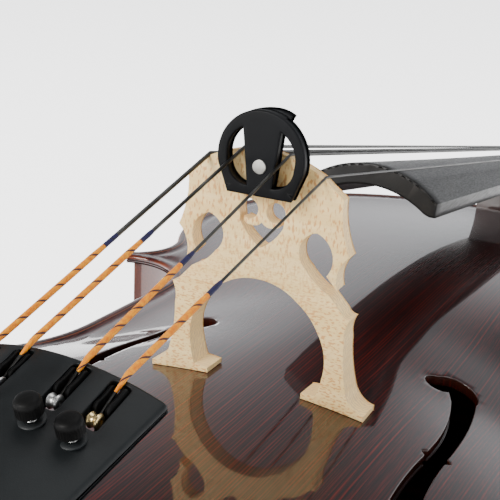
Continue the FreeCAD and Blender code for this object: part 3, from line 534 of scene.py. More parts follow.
def soft_black(name, tone, rough, grain, strength, worn=0.5, gloss=0.3):
    """Moulded rubber or plastic: fine texture, a little dust and rubbed edges."""
    g = Graph(name)
    fine = g.grain((grain, grain, grain), 3.0, 0.6)
    broad = g.grain((45, 45, 45), 4.0)
    colour = g.ramp(broad, [(0.35, scaled(tone, 0.7)), (0.65, scaled(tone, 1.5))])
    colour = edge_wear(g, colour, tuple(min(1, 4 * c + 0.02) for c in tone), worn)
    both = g.total((fine, 0.5), (broad, 0.5))
    return g.finish(Base_Color=colour, Roughness=g.spread(both, 0.35, 0.65, rough - 0.06, rough + 0.08),
                    Normal=g.bump(fine, strength, 0.0002), Specular_IOR_Level=gloss)


def metal(name, tone, rough, brush=(300, 300, 300), strength=0.05, dull=0.55):
    g = Graph(name)
    fine = g.noise(g.stretched(brush), 1.0, 3.0, 0.6)
    haze = g.grain((70, 70, 70), 4.0)
    colour = g.mix(g.spread(haze, 0.4, 0.75), tone, scaled(tone, dull))
    colour = g.mix(g.spread(fine, 0.3, 0.8, 0, 0.3), colour, scaled(tone, 0.7))
    return g.finish(Base_Color=colour, Metallic=1.0, Roughness=g.spread(haze, 0.3, 0.7, rough, rough + 0.14),
                    Normal=g.bump(fine, strength, 0.0001))


def string_metal():
    """Flat winding: fine rings along the string, from the length stored on the mesh."""
    g = Graph("string_steel")
    along = g.attribute("along")
    ring = g.math("PINGPONG", g.math("MULTIPLY", along, 2.2), 0.5)
    haze = g.grain((240, 60, 240), 3.0)
    colour = g.ramp(haze, [(0.35, (0.035, 0.034, 0.032)), (0.6, (0.075, 0.074, 0.07)),
                           (0.75, (0.13, 0.128, 0.12))])
    return g.finish(Base_Color=colour, Metallic=1.0, Roughness=g.spread(haze, 0.3, 0.7, 0.30, 0.45),
                    Normal=g.bump(ring, 0.4, 0.00006))


def silk(name, light, dark, thread, share):
    """Bound silk: close turns with painted shade in the grooves between them, and a darker thread that winds
    round in a long helix.
    """
    g = Graph(name)
    along, thread_near = g.attribute("along"), g.attribute("thread")
    close = g.math("PINGPONG", g.math("MULTIPLY", along, 2.6), 0.5)
    helix = g.spread(thread_near, 1 - share - 0.05, 1 - share + 0.03)
    fuzz = g.grain((700, 700, 700), 3.0)
    colour = g.mix(g.spread(fuzz, 0.35, 0.7), dark, light)
    # painted shade: the colour darkens in the grooves between the close turns
    colour = g.mix(g.spread(close, 0.0, 0.16, 0.45, 0.0), colour, scaled(dark, 0.45))
    colour = g.mix(helix, colour, thread)
    height = g.math("MULTIPLY_ADD", helix, -0.5, close)
    height = g.math("MULTIPLY_ADD", fuzz, 0.3, height)
    return g.finish(Base_Color=colour, Roughness=0.62, Normal=g.bump(height, 0.5, 0.00012), Sheen_Weight=0.05,
                    Specular_IOR_Level=0.3)


def gut_cord():
    g = Graph("gut_cord")
    twist = g.math("MULTIPLY", g.attribute("thread"), 0.5)
    colour = g.mix(g.spread(twist, 0.1, 0.4), (0.012, 0.012, 0.012), (0.05, 0.05, 0.052))
    return g.finish(Base_Color=colour, Roughness=0.5, Normal=g.bump(twist, 0.7, 0.0003))


MATERIALS = {material.name.split(".")[0]: material for material in (
    varnished_spruce(), varnished_maple(), bare_spruce(), ebony(), bridge_maple(),
    soft_black("mute_rubber", (0.0018, 0.0021, 0.0028), 0.5, 1500, 0.08, 0.12, 0.13),
    metal("magnet_nickel", (0.46, 0.455, 0.42), 0.30, (2200, 2200, 200), 0.10),
    string_metal(),
    silk("silk_orange", (0.80, 0.33, 0.0), (0.62, 0.16, 0.0), (0.03, 0.010, 0.02), 0.11),
    silk("silk_blue", (0.007, 0.006, 0.065), (0.004, 0.003, 0.035), (0.005, 0.005, 0.015), 0.08),
    soft_black("tailpiece_composite", (0.005, 0.0062, 0.0068), 0.48, 2400, 0.12, 0.2, 0.22),
    soft_black("tuner_black", (0.0025, 0.0025, 0.0025), 0.5, 1500, 0.04, 0.15, 0.1),
    metal("screw_steel", (0.56, 0.56, 0.55), 0.30, (500, 500, 4000), 0.2),
    metal("ball_brass", (0.78, 0.60, 0.30), 0.24),
    gut_cord(),
    metal("rod_steel", (0.60, 0.60, 0.61), 0.20, (3000, 40, 3000), 0.05),
    soft_black("tip_rubber", (0.016, 0.016, 0.016), 0.62, 900, 0.25, 0.4),
    metal("clamp_brass", (0.72, 0.55, 0.27), 0.30, (700, 700, 700), 0.10),
)}


# ---------------------------------------------------------------- body outline: tangent arcs
def chain(start, heading, bends):
    """Tangent arcs (centre, radius, first angle, sweep); a positive sweep bends to the left."""
    x, y = start
    arcs = []
    for radius, sweep in bends:
        side = 90 if sweep > 0 else -90
        normal = math.radians(heading + side)
        centre = (x + radius * math.cos(normal), y + radius * math.sin(normal))
        first = heading - side
        last = math.radians(first + sweep)
        x, y = centre[0] + radius * math.cos(last), centre[1] + radius * math.sin(last)
        heading += sweep
        arcs.append((centre, radius, first, sweep))
    return arcs


LOWER = chain((0, 0), 0, [(302, 30), (138, 60), (215, 30), (50, -80)])
WAIST = chain((202.5, 342.3), 185, [(75, -93), (3000, -1.28), (30, -115.9)])
UPPER_DOWN = chain((0, LENGTH), 0, [(211, -30), (129, -60), (130, -28), (28, 85)])
UPPER = [(c, r, first + sweep, -sweep) for c, r, first, sweep in reversed(UPPER_DOWN)]


def along_arcs(arcs, inset=0.0, spacing=2.0, cut=(0.0, 0.0)):
    """Points along arcs moved inwards, shortened at both ends."""
    found = []
    for index, (centre, radius, first, sweep) in enumerate(arcs):
        moved_radius = radius - inset if sweep > 0 else radius + inset
        start, turn = math.radians(first), math.radians(sweep)
        if index == 0 and cut[0]:
            step = math.copysign(cut[0] / moved_radius, turn)
            start, turn = start + step, turn - step
        if index == len(arcs) - 1 and cut[1]:
            turn -= math.copysign(cut[1] / moved_radius, turn)
        count = max(2, math.ceil(abs(turn) * radius / spacing))
        angle = start + turn * np.arange(count + 1) / count
        block = np.array(centre) + moved_radius * np.stack([np.cos(angle), np.sin(angle)], 1)
        found.append(block if not found else block[1:])
    return np.concatenate(found)


def outline(inset=0.0, cut=0.0, spacing=2.0):
    """The whole body outline, (x, v) with v from the bottom edge."""
    half = np.concatenate([
        along_arcs(LOWER, inset, spacing, (0, cut)), along_arcs(WAIST, inset, spacing, (cut, cut)),
        along_arcs(UPPER, inset, spacing, (cut, 0))])
    return both_sides(half)


def arch(points):
    """Height of the arch above the flat edge for (x, v) points."""
    x, v = np.abs(points[:, 0]), points[:, 1]
    low = 1 - ((v - 165) / np.where(v < 165, 153, 262)) ** 2
    high = 1 - ((v - 612) / np.where(v > 612, 133, 170)) ** 2
    bouts = (212 * np.sqrt(np.maximum(low, 0)), 162 * np.sqrt(np.maximum(high, 0)), 106)
    width = sum(b ** 6 for b in bouts) ** (1 / 6)
    along = np.minimum(np.abs(2 * (v - 12) / (LENGTH - 24) - 1), 1)
    return RISE * (1 - along ** 3) ** 1.5 * (1 - np.minimum(x / width, 1) ** 2) ** 1.6


FINE_EDGE = outline(0, 0, 0.6)
PLATE_ROUND = 1.3
FAR = 50.0  # stored as the distance to a rim or a hole where there is none


def f_hole(side):
    """One loop round both eyes and the stem, (x, v)."""
    upper, lower = np.array([55.5, 61.0]), np.array([88.5, -60.0])
    turn_low, turn_up = math.radians(30.5), math.radians(-133.8)
    round_low = tuple(lower + 7.4 * np.array([math.cos(turn_low), math.sin(turn_low)]))
    round_up = tuple(upper + 5.7 * np.array([math.cos(turn_up), math.sin(turn_up)]))
    start = (53.1, 66.2)
    steps = [
        ((63, 71.5), (72, 60)), ((75.8, 35), (77.4, 2)), (79.4, 0), (77.6, -2),
        ((78.8, -28), (82.5, -50.5)), (81.8, -56.9), (round_low, (88, -67.3)),
        ((78.2, -66.5), (71.8, -52)), ((69.8, -25), (70.2, -2)), (68.4, 0), (70.1, 2),
        ((68.8, 30), (64, 52)), (60.8, 58.8), (round_up, start),
    ]
    loop = trace(start, steps, 1.2)[:-1]
    return loop * [side, 1] + [0, BRIDGE - BOTTOM]


F_HOLES = [f_hole(-1), f_hole(1)]
ALL_HOLES = np.concatenate([
    trace(tuple(hole[0]), [tuple(p) for p in hole[1:]] + [tuple(hole[0])], 0.6) for hole in F_HOLES])


def channel(points):
    """The raised bead and the shallow channel inside it, along the edge of a plate."""
    d = near(points, FINE_EDGE)
    return -1.1 * np.exp(-((d - 8.0) / 3.4) ** 2) - 0.55 * np.exp(-(d / 1.6) ** 2)


def rings_inside(depths, spacing=3.0):
    return np.concatenate([outline(depth, depth * 0.6, spacing) for depth in depths])


def make_plates():
    rims = rings_inside((2.6, 3.7, 4.7, 5.7, 7.5, 9.5, 12.0))
    edge = outline(0, 0, 1.6)

    def top(points):
        return TOP_EDGE + arch(points) + channel(points)

    def back(points):
        return np.maximum(BACK_SEAT - EDGE - arch(points) - channel(points), 0)

    for name, loops, high, low, nodes, finish in (
            ("top_plate", [edge] + F_HOLES, top, lambda p: TOP_SEAT + arch(p),
             ("top_plate_bass", "top_plate_treble"), "top_varnish"),
            ("back_plate", [edge], lambda p: BACK_SEAT - arch(p), back,
             ("back_plate_bass", "back_plate_treble"), "back_varnish")):
        points, faces = slab(loops, high, low, PLATE_ROUND if len(loops) == 1 else rim_of_top, 3.6, 3, rims)
        flat = points[:, :2]
        outer = points[:, 2] >= high(flat) - 2.2 if name == "top_plate" else points[:, 2] <= low(flat) + 2.2
        rim = np.where(outer, near(flat, FINE_EDGE), FAR)
        hole = FAR if name == "back_plate" else near(flat, ALL_HOLES)
        build(name, (points, faces), finish, BODY_FRAME, nodes, smooth=50, rim=rim, hole=hole)
    disc = circle((0, JOINT + 4 - BOTTOM), 15.0)
    button = slab([disc], level(BACK_SEAT), level(BACK_SEAT - EDGE), PLATE_ROUND)
    build("back_button", button, "back_varnish", BODY_FRAME, rim=FAR, hole=FAR)


def rim_of_top(points):
    """Full rounding on the outline, a small one in the f-holes."""
    return np.where(near(points, FINE_EDGE) < 1.0, PLATE_ROUND, 0.5)


def make_ribs():
    for bout, arcs, cut in (("lower", LOWER, (0, 4)), ("centre", WAIST, (4.4, 4.4)), ("upper", UPPER, (4, 0))):
        outside = along_arcs(arcs, OVERHANG, 2.0, cut)
        inner = along_arcs(arcs, OVERHANG + RIB, 2.0, cut)
        loop = np.concatenate([outside, inner[::-1]])
        for name, side in (("bass", -1), ("treble", 1)):
            wall = slab([loop * [side, 1]], level(TOP_SEAT + 0.1), level(BACK_SEAT - 0.1), 0.15, 50.0, 1)
            node = "%s_rib_%s" % (bout, name)
            build("fine_" + node, wall, "back_varnish", BODY_FRAME, node, rim=FAR)


# ---------------------------------------------------------------- bridge and mute
BRIDGE_TALL = 91.6


def bridge_depth(z):
    """Thickness: full at the feet, tapering on the fingerboard side."""
    return np.where(z <= 4, 11.5, 11.5 + (z - 4) * (3.2 - 11.5) / (BRIDGE_TALL + 3 - 4))


def make_bridge():
    half = [
        ((12, 90.1), (23.2, 85.9)), (31.2, 78.4), ((31.8, 67.5), (34.8, 58.0)), ((31.0, 51.4), (31.2, 44.8)),
        (26.7, 49.4), ((28.6, 57.0), (22.0, 64.6)), ((15.7, 58.2), (18.6, 50.4)), ((22.6, 46.0), (28.6, 42.4)),
        (33.6, 36.8), ((34.7, 35.3), (37.0, 34.6)), ((35.6, 31.0), (35.6, 26.0)), ((36.0, 16.0), (37.6, 7.0)),
        ((39.8, 2.2), (45.4, -1.0)),
        (45.4, -3.25), ((32.7, -1.65), (20.0, -0.55)), (20.0, 1.6), (26.0, 2.2), ((27.1, 5.5), (27.8, 9.5)),
        ((27.6, 21.0), (24.6, 27.6)), ((21.0, 32.7), (16.2, 36.8)), ((8.5, 41.2), (0, 42.6)),
    ]
    heart = [
        ((5.2, 59.0), (8.7, 64.0)), (9.3, 69.0), ((5.5, 72.8), (1.7, 69.0)), ((2.7, 66.4), (5.2, 65.2)),
        (7.4, 65.9), ((6.6, 63.6), (4.2, 63.0)), ((1.8, 63.2), (0, 64.6)),
    ]
    outside = both_sides(trace((0, BRIDGE_TALL), half, 0.7))
    treble = np.clip((outside[:, 0] - 5) / 18, 0, 1) * np.clip((outside[:, 1] - 78.4) / 5, 0, 1)
    outside[:, 1] -= 1.1 * treble
    loops = [outside, both_sides(trace((0, 55), heart, 0.7))]

    board = slab(loops, level(0), lambda p: -bridge_depth(p[:, 1]), 0.22, 3.0, 2)
    build("fine_bridge", board, "bridge_maple", BRIDGE_FRAME @ UPRIGHT, "bridge")


MUTE_PLACE = shifted(1.9, BRIDGE - 8, CROWN + 90) @ UPRIGHT
MUTE_OUT, MUTE_THICK = 17.0, 4.6


def make_mute():
    flat = -13.7
    edge = math.sqrt(MUTE_OUT ** 2 - flat ** 2)
    foot, hip = edge + 2.6, (16.7, -3.6)
    rim = trace((-foot, flat), [(-hip[0], hip[1]), ((0, MUTE_OUT), hip), (foot, flat), (-foot, flat)], 0.8)[:-1]
    windows = []
    for side in (-1, 1):
        start = (side * 4.9, -10.0)
        steps = [((side * 9.4, -8.6), (side * 12.9, -2.0)), ((side * 12.5, 4.4), (side * 7.4, 10.2)), start]
        windows.append(trace(start, steps, 0.8)[:-1])
    disc = slab([rim] + windows, level(0), level(-MUTE_THICK), 0.7, 3.0, 4)
    first, last = math.radians(61), math.radians(128)
    middle = (first + last) / 2

    def polar(radius, angle):
        return (radius * math.cos(angle), radius * math.sin(angle))

    inner = MUTE_OUT - 3.0
    outer = MUTE_OUT + 0.04
    hood = trace(polar(outer, first), [(polar(outer, middle), polar(outer, last)), polar(inner, last),
                                       (polar(inner, middle), polar(inner, first)), polar(outer, first)], 0.8)

    def hood_back(points):
        share = np.clip((points[:, 0] + 10) / 16, 0, 1)
        return -MUTE_THICK - 5.9 * share * share * (3 - 2 * share)

    lip = slab([hood[:-1]], level(-0.1), hood_back, 0.7, 2.0, 4)
    build("fine_mute", merged([disc, lip]), "mute_rubber", MUTE_PLACE, "mute", "mute_body")
    radius = 2.6
    magnet = lathe([(0.01, -0.5), (radius - 0.35, -0.5), (radius - 0.1, -0.42), (radius, -0.25), (radius, 2.0),
                    (0.01, 2.0)])
    spot = MUTE_PLACE @ shifted(0, -2.8, 0) @ Matrix.Rotation(math.pi, 4, "X")
    build("fine_magnet", magnet, "magnet_nickel", spot, "mute_magnet", "mute_body")


# ---------------------------------------------------------------- neck, fingerboard, nut, saddle
def board_half(y):
    return 33.0 + (16.0 - 33.0) * y / BOARD_RUN


def board_ring(y, inset):
    """One section of the fingerboard: round top, upright sides, hollow underside near the bridge."""
    half = board_half(y)
    side, radius = 7.2, 50.0
    rise = radius - math.sqrt(radius ** 2 - half ** 2)
    hollow = max(0.0, 1 - max(y, 0) / 270)
    scoop = half - 4.6 - 0.4 * (1 - hollow)
    deep = 9.8 * hollow ** 0.8 + 0.02
    ring = trace((half, 0.6), [(half, side - 0.7), ((0, side + rise), (-half, side - 0.7)), (-half, 0.6)], 2.0)
    ring = ring[np.linspace(0, len(ring) - 1, 64).round().astype(int)]
    under = trace((-half + 0.5, 0), [(-scoop, 0), ((0, deep), (scoop, 0)), (half - 0.5, 0)], 1.5)
    under = under[np.linspace(0, len(under) - 1, 40).round().astype(int)]
    loop = np.concatenate([ring, under])
    if inset:
        loop = offset(loop, inset)
    return np.column_stack([loop[:, 0], np.full(len(loop), y), loop[:, 1]])


def make_fingerboard():
    stations = [0.0, 0.25, 0.9] + list(np.linspace(8, BOARD_RUN, 60))
    rings = [board_ring(y, {0.0: 0.9, 0.25: 0.25}.get(y, 0.0)) for y in stations]
    flat, tris = triangles([rings[0][:, [0, 2]]], 60.0)
    end_face = (np.insert(flat, 1, 0.0, 1), [tuple(tri) for tri in tris])
    far_face = (rings[-1], [tuple(range(len(rings[0])))])
    board = weld(*merged([loft(rings, False), end_face, far_face]))
    build("fine_fingerboard", board, "ebony", NECK_FRAME, "fingerboard", smooth=40)
    half = 16.0
    nut = trace((half, 0), [(half, 6.6), ((0, 11.4), (-half, 6.6)), (-half, 0), (half, 0)], 0.8)[:-1]
    place = NECK_FRAME @ shifted(0, BOARD_RUN + 6, 0) @ UPRIGHT
    build("fine_nut", slab([nut], level(6.0), level(0.05), 0.9, 3.0, 4), "ebony", place, "nut")
    wide, deep, tall = 19.0, 9.0, EDGE + 7.0
    steps = [(-0.2, -tall), (-0.2, -4.0), ((-2.6, -0.9), (-deep, 0)), (-deep, -tall)]
    loop = trace((-deep, -tall), steps, 0.8)[:-1] * [-1, 1]
    place = shifted(0, BOTTOM, TOP_SEAT + tall) @ Matrix.Rotation(math.pi / 2, 4, "Z") @ UPRIGHT
    build("fine_saddle", slab([loop], level(wide), level(-wide), 1.2, 3.0, 4), "ebony", place, "saddle")


def oval_ring(top, bottom, half, count=40, square=2.3):
    """A D-shaped ring in the plane through two points of the symmetry plane: flat at top, round below."""
    top, bottom = np.array(top, float), np.array(bottom, float)
    down = bottom - top
    angle = np.linspace(0, math.pi, count)
    x = half * np.sign(np.cos(angle)) * np.abs(np.cos(angle)) ** (2 / square)
    d = np.abs(np.sin(angle)) ** (2 / square)
    ring = [np.array([xi, *(top + down * di)]) for xi, di in zip(x, d)]
    across = np.linspace(-half, half, 10)[1:-1]
    ring += [np.array([xi, *top]) for xi in across]
    return np.array(ring)


def make_neck():
    """Shaft and heel are one sweep that turns round the corner at the body joint."""
    def neck_point(y, z):
        spot = NECK_FRAME @ Vector((0, y, z))
        return (spot.y, spot.z)

    under_board, heel_depth, heel_out, mortise = -0.4, 48, 19.0, 8
    joint_y = (JOINT - NECK_FRAME.translation.y) / math.cos(NECK_SLOPE)
    shaft_start, shaft_end = BOARD_RUN + 2, joint_y + 62
    corner = neck_point(joint_y - mortise, under_board)
    rings = []
    for share in np.linspace(0, 1, 26):
        y = shaft_start + (shaft_end - shaft_start) * share
        depth = 18.5 + 3.2 * share
        rings.append(oval_ring(neck_point(y, under_board), neck_point(y, -depth), 16.0 + 4.4 * share))
    last_top = neck_point(shaft_end, under_board)
    first_bottom = neck_point(shaft_end, -21.7)
    for share in np.linspace(0, 1, 12)[1:]:
        ease = share ** 1.1
        top = np.array(last_top) * (1 - share) + np.array(corner) * share
        angle = math.radians(-8.6) + math.radians(-70) * ease
        far = np.array(first_bottom) * (1 - ease) + np.array([JOINT + heel_out, corner[1] - heel_depth]) * ease
        bend = 6.5 * math.sin(math.pi * share)
        far = far + bend * np.array([-math.cos(angle + 0.9), 0.75])
        rings.append(oval_ring(top, far, 20.4 + 0.8 * share, square=2.2))
    top_z = corner[1]
    for share in np.linspace(0, 1, 12)[1:]:
        z_in = top_z + (BACK_SEAT - top_z) * share
        z_out = (top_z - heel_depth) + (BACK_SEAT - (top_z - heel_depth)) * share
        y_out = JOINT + heel_out - 4.5 * math.sin(math.pi * 0.5 * share)
        rings.append(oval_ring((JOINT - mortise, z_in), (y_out, z_out), 21.2 - 6.6 * share, square=2.2))
    build("neck_shaft", loft(rings), "back_varnish", nodes="neck", smooth=60, rim=FAR)
    make_pegbox()


BOX_START, BOX_RUN = 6.0, 150.0
SCROLL = (BOX_START + BOX_RUN + 29.3, -30.0)


def box_ring(y):
    """The U-shaped section of the pegbox at a place along it."""
    outer = np.interp(y, [0, 12, 116, 190], [18.0, 20.6, 17.4, 15.2])
    inner = np.interp(y, [12, 150], [11.5, 8.0])
    top = np.interp(y, [0, 8, 14, 156, 176], [-0.4, 1.2, 5.4, 2.0, 2.0])
    bottom = np.interp(y, [-6, 4, 16, 60, 110, 136, 156, 172, 186],
                       [-17.5, -23, -29.5, -31.2, -30.2, -31, -38, -54, -65.6])
    floor = np.interp(y, [10, 22, 140, 156], [top, -24.0, -22.5, top])
    r = 4.0
    points = [(outer, top - 0.8), (outer, bottom + r), (outer - 1.2, bottom + 1.2), (outer - r, bottom),
              (-outer + r, bottom), (-outer + 1.2, bottom + 1.2), (-outer, bottom + r), (-outer, top - 0.8),
              (-outer + 0.8, top), (-inner - 0.5, top), (-inner, top - 0.5),
              (-inner + 0.3, min(top - 0.7, floor + 1.6)), (-inner + 1.6, min(top - 0.8, floor)),
              (inner - 1.6, min(top - 0.8, floor)), (inner - 0.3, min(top - 0.7, floor + 1.6)),
              (inner, top - 0.5), (inner + 0.5, top), (outer - 0.8, top)]
    return np.array([(x, y, z) for x, z in points])


def make_pegbox():
    stations = list(np.linspace(-6, 24, 16)) + list(np.linspace(30, 134, 22)) + list(np.linspace(138, 188, 22))
    box = loft([box_ring(y) for y in stations])
    rings = []
    turns = 5.0
    for i in np.linspace(0, turns, 180):
        radius = 36 - 6.75 * i + 0.25 * i * i
        half = 15 + 4.2 * i - 0.18 * i * i
        angle = i * math.pi
        flute = min(1.0, max(0.0, 1.1 - i * 0.5))
        band = [(half, -4.6), (half, -1.4), (half - 0.5, -0.35), (half - 1.5, 0), (half - 3.2, -0.3),
                (half * 0.55, -0.4 - 1.9 * flute), (half * 0.22, -0.7 * flute), (0, 0.2)]
        band += [(-x, r) for x, r in band[-2::-1]]
        out = np.array([0, math.sin(angle), -math.cos(angle)])
        centre = np.array([0, *SCROLL])
        rings.append(np.array([centre + out * (radius + r) + np.array([x, 0, 0]) for x, r in band]))
    volute = loft(rings, closed=True)
    eye = lathe([(0.01, -31.9), (5.5, -31.9), (7.6, -31.2), (8.3, -29.8), (8.3, 29.8), (7.6, 31.2), (5.5, 31.9),
                 (0.01, 31.9)], 40)
    eye = moved(eye, shifted(0, *SCROLL) @ SIDE_ON)
    drums = []
    for radius, half in ((31.0, 14.6), (27.0, 15.0), (21.0, 20.0), (15.6, 24.4), (10.8, 28.0)):
        drum = lathe([(0.01, -half), (radius, -half), (radius, half), (0.01, half)], 72)
        drums.append(moved(drum, shifted(0, *SCROLL) @ SIDE_ON))
    whole = merged([box, volute, eye] + drums)
    build("pegbox_scroll", whole, "back_varnish", HEAD_FRAME, smooth=40, rim=FAR)


# ---------------------------------------------------------------- tubes: strings, silk and gut
def tube(route, radii, sides, pitch=4.4):
    """A round tube; also gives the length along it and how near each point is to a helical thread."""
    route = np.array(route, float)
    ahead = np.gradient(route, axis=0)
    ahead /= np.linalg.norm(ahead, axis=1)[:, None]
    across = np.cross(ahead[0], [0.3, 0.1, 1.0])
    length = np.concatenate([[0], np.cumsum(np.linalg.norm(np.diff(route, axis=0), axis=1))])
    angle = np.arange(sides) * 2 * math.pi / sides
    rings, along, thread = [], [], []
    for spot, forward, radius, done in zip(route, ahead, np.broadcast_to(radii, len(route)), length):
        across = across - forward * (across @ forward)
        across /= np.linalg.norm(across)
        up = np.cross(forward, across)
        rings.append(spot + radius * (np.cos(angle)[:, None] * across + np.sin(angle)[:, None] * up))
        along += [done] * sides
        phase = (done / pitch - angle / (2 * math.pi)) % 1
        thread += list(np.abs(phase - 0.5) * 2)
    return *loft(rings), {"along": along, "thread": thread}


def straight(a, b, step):
    """Evenly spaced points from a to b."""
    a, b = np.array(a, float), np.array(b, float)
    count = max(2, math.ceil(np.linalg.norm(b - a) / step))
    return a + (b - a) * np.linspace(0, 1, count + 1)[:, None]


def curved(points, rounds=4):
    """The quadratic B-spline of a few control points."""
    points = np.array(points, float)
    for _ in range(rounds):
        a, b = points[:-1], points[1:]
        cut = np.stack([a * 0.75 + b * 0.25, a * 0.25 + b * 0.75], 1).reshape(-1, 3)
        points = np.concatenate([points[:1], cut[1:-1], points[-1:]])
    return points


def tail_drop(x):
    return TAIL_ROUND - math.sqrt(TAIL_ROUND ** 2 - x ** 2)


# where the blue sleeve begins and the orange winding begins, as shares of the way from bridge to tailpiece
SILK = {"c": (0.515, 0.575), "g": (0.505, 0.56), "d": (0.555, 0.615), "a": (0.60, 0.665)}
WRAP = 0.98


def make_strings():
    for name, seat_x, tail_x, nut_x, up, radius in STRINGS:
        station, side = [(s, w) for n, s, w in PEGS if n == name][0]
        drop = tail_drop(tail_x)
        ball_side = TAIL_FRAME @ Vector((tail_x, -12.6, -drop - 1.6))
        edge = TAIL_FRAME @ Vector((tail_x, 0.3, 1.1 - drop))
        seat = Vector((seat_x, BRIDGE + 1.6, CROWN + up))
        nut = NECK_FRAME @ Vector((nut_x, BOARD_RUN + 2.5, 11.6 + radius - nut_x ** 2 / 60))
        coil = 6.5 + radius
        peg = HEAD_FRAME @ Vector((-side * 2.0, BOX_START + station - 1.2, PEG_DEPTH + coil + 1.4 + radius))
        blue, orange = (seat + (edge - seat) * share for share in SILK[name])
        behind_nut = nut + (peg - nut) * 0.04
        steel = np.concatenate([straight(ball_side, edge, 1.0), straight(edge, seat, 4.0)[1:],
                                straight(seat, nut, 8.0)[1:], straight(nut, peg, 2.0)[1:]])
        core = np.where(np.arange(len(steel)) < 14, min(radius, 0.55), radius)
        build("fine_string_" + name, tube(steel, core, 14), "string_steel", nodes="string_" + name, smooth=60)
        wrap_end = edge + (ball_side - edge) * 0.55
        way = np.concatenate([straight(orange, edge, 0.25), straight(edge, wrap_end, 0.25)[1:]])
        done = np.linspace(0, 1, len(way))
        taper = np.clip((1 - done) * len(way) * 0.25 / 9.0, 0, 1)
        girth = WRAP * np.clip(0.86 + done * 1.2, 0, 1) * (0.42 + 0.58 * taper)
        build("silk_wrap_" + name, tube(way, girth, 20, 9.0), "silk_orange", smooth=60)
        way = straight(blue, orange, 0.3)
        done = np.linspace(0, 1, len(way))
        girth = radius + (WRAP * 0.86 - radius) * np.clip(0.35 + done * 2, 0, 1)
        build("silk_sleeve_" + name, tube(way, girth, 20), "silk_blue", smooth=60)
        way = straight(behind_nut, behind_nut + (peg - behind_nut) * 0.97, 0.4)
        build("silk_peg_end_" + name, tube(way, min(radius + 0.12, 0.95), 16), "silk_orange", smooth=60)


def make_tailgut():
    over, behind = TOP_EDGE + 7 + 1.35, BOTTOM - 2.3
    ways = []
    for side in (-1, 1):
        ways.append([tuple(point) for point in (
            TAIL_FRAME @ Vector((side * 6, -TAIL_LENGTH + 6, -4.6)),
            TAIL_FRAME @ Vector((side * 6.1, -TAIL_LENGTH - 3, -4.8)),
            (side * 7, BOTTOM + 12, over + 1.5), (side * 7.6, BOTTOM + 1, over + 0.6),
            (side * 8.6, BOTTOM - 1.8, over - 5), (side * 11, behind, MIDDLE + 30),
            (side * 14.6, behind, MIDDLE + 6), (side * 14.8, behind, MIDDLE - 6),
            (side * 8.5, behind, MIDDLE - 14.6))])
    cord = tube(curved(ways[0] + ways[1][::-1]), 1.2, 16, 3.0)
    build("fine_tailgut", cord, "gut_cord", nodes="tailgut", smooth=60)
    for side, name in ((-1, "bass"), (1, "treble")):
        knot = lathe([(0.3, -2.2), (1.9, -1.6), (2.4, 0), (1.9, 1.6), (0.3, 2.2)], 24)
        place = TAIL_FRAME @ shifted(side * 6, -TAIL_LENGTH + 9, -4.9) @ UPRIGHT
        build("gut_knot_" + name, knot, "gut_cord", place, thread=0.0)


# ---------------------------------------------------------------- tailpiece and fine tuners
SIDEWAYS = Matrix(((0, 0, 1, 0), (1, 0, 0, 0), (0, 1, 0, 0), (0, 0, 0, 1)))
PIVOT = (-6.0, -8.0)
SCREW_SET, SCREW_PITCH = 24.0, 0.5


def rounded_box(x0, y0, x1, y1, r, spacing=0.5):
    k = r * (1 - math.sqrt(0.5))
    steps = [(x1 - r, y0), ((x1 - k, y0 + k), (x1, y0 + r)), (x1, y1 - r), ((x1 - k, y1 - k), (x1 - r, y1)),
             (x0 + r, y1), ((x0 + k, y1 - k), (x0, y1 - r)), (x0, y0 + r), ((x0 + k, y0 + k), (x0 + r, y0))]
    return trace((x0 + r, y0), steps, spacing)[:-1]


def make_tailpiece():
    wide, narrow = 33.5, 13.5
    half = trace((0, 0), [
        (wide - 1.6, 0), ((wide - 0.5, -0.5), (wide - 0.3, -1.8)),
        ((25.4, -92), (narrow + 0.6, -TAIL_LENGTH + 4)),
        ((narrow - 0.6, -TAIL_LENGTH + 1), (narrow - 3.6, -TAIL_LENGTH)), (0, -TAIL_LENGTH)], 1.2)
    outline_loop = both_sides(half)
    windows = [rounded_box(x - 2.9, -19.0, x + 2.9, -1.9, 1.1) for _, _, x, *_ in STRINGS]

    def crown(points):
        return np.sqrt(TAIL_ROUND ** 2 - points[:, 0] ** 2) - TAIL_ROUND

    def hollow(points):
        inward = np.clip(near(points, outline_loop) / 5, 0, 1)
        return crown(points) - 2.4 - 1.6 * inward - 3.0 * np.clip(-points[:, 1] / TAIL_LENGTH, 0, 1)

    windows_all = np.concatenate(windows)

    def rim(points):
        return np.where(near(points, windows_all) < 0.5, 0.35, 1.1)

    sheet = slab([outline_loop] + windows, crown, hollow, rim, 3.0, 4)
    blocks = []
    for _, _, x, *_ in STRINGS:
        drop = tail_drop(x)
        for way in (-1, 1):
            cheek = rounded_box(PIVOT[0] - 4.2, -10.4, PIVOT[0] + 4.2, -3.2, 1.5)
            inner, outer = sorted((way * 3.0, way * 4.2))
            part = slab([cheek], level(outer), level(inner), 0.3, 3.0, 2)
            blocks.append(moved(part, shifted(x, 0, -drop) @ SIDEWAYS))
        boss = lathe([(1.56, -5.6), (2.9, -5.6), (3.2, -5.2), (3.2, -3.0), (1.56, -3.0)], 32)
        blocks.append(moved(boss, shifted(x, -SCREW_SET, -drop)))
        collar = lathe([(1.9, -0.4), (3.6, -0.4), (3.7, 0.02), (3.4, 0.28), (2.1, 0.32), (1.9, 0.1)], 40)
        blocks.append(moved(collar, shifted(x, -SCREW_SET, -drop + 0.15)))
    build("fine_tailpiece", merged([sheet] + blocks), "tailpiece_composite", TAIL_FRAME, "tailpiece", smooth=40)


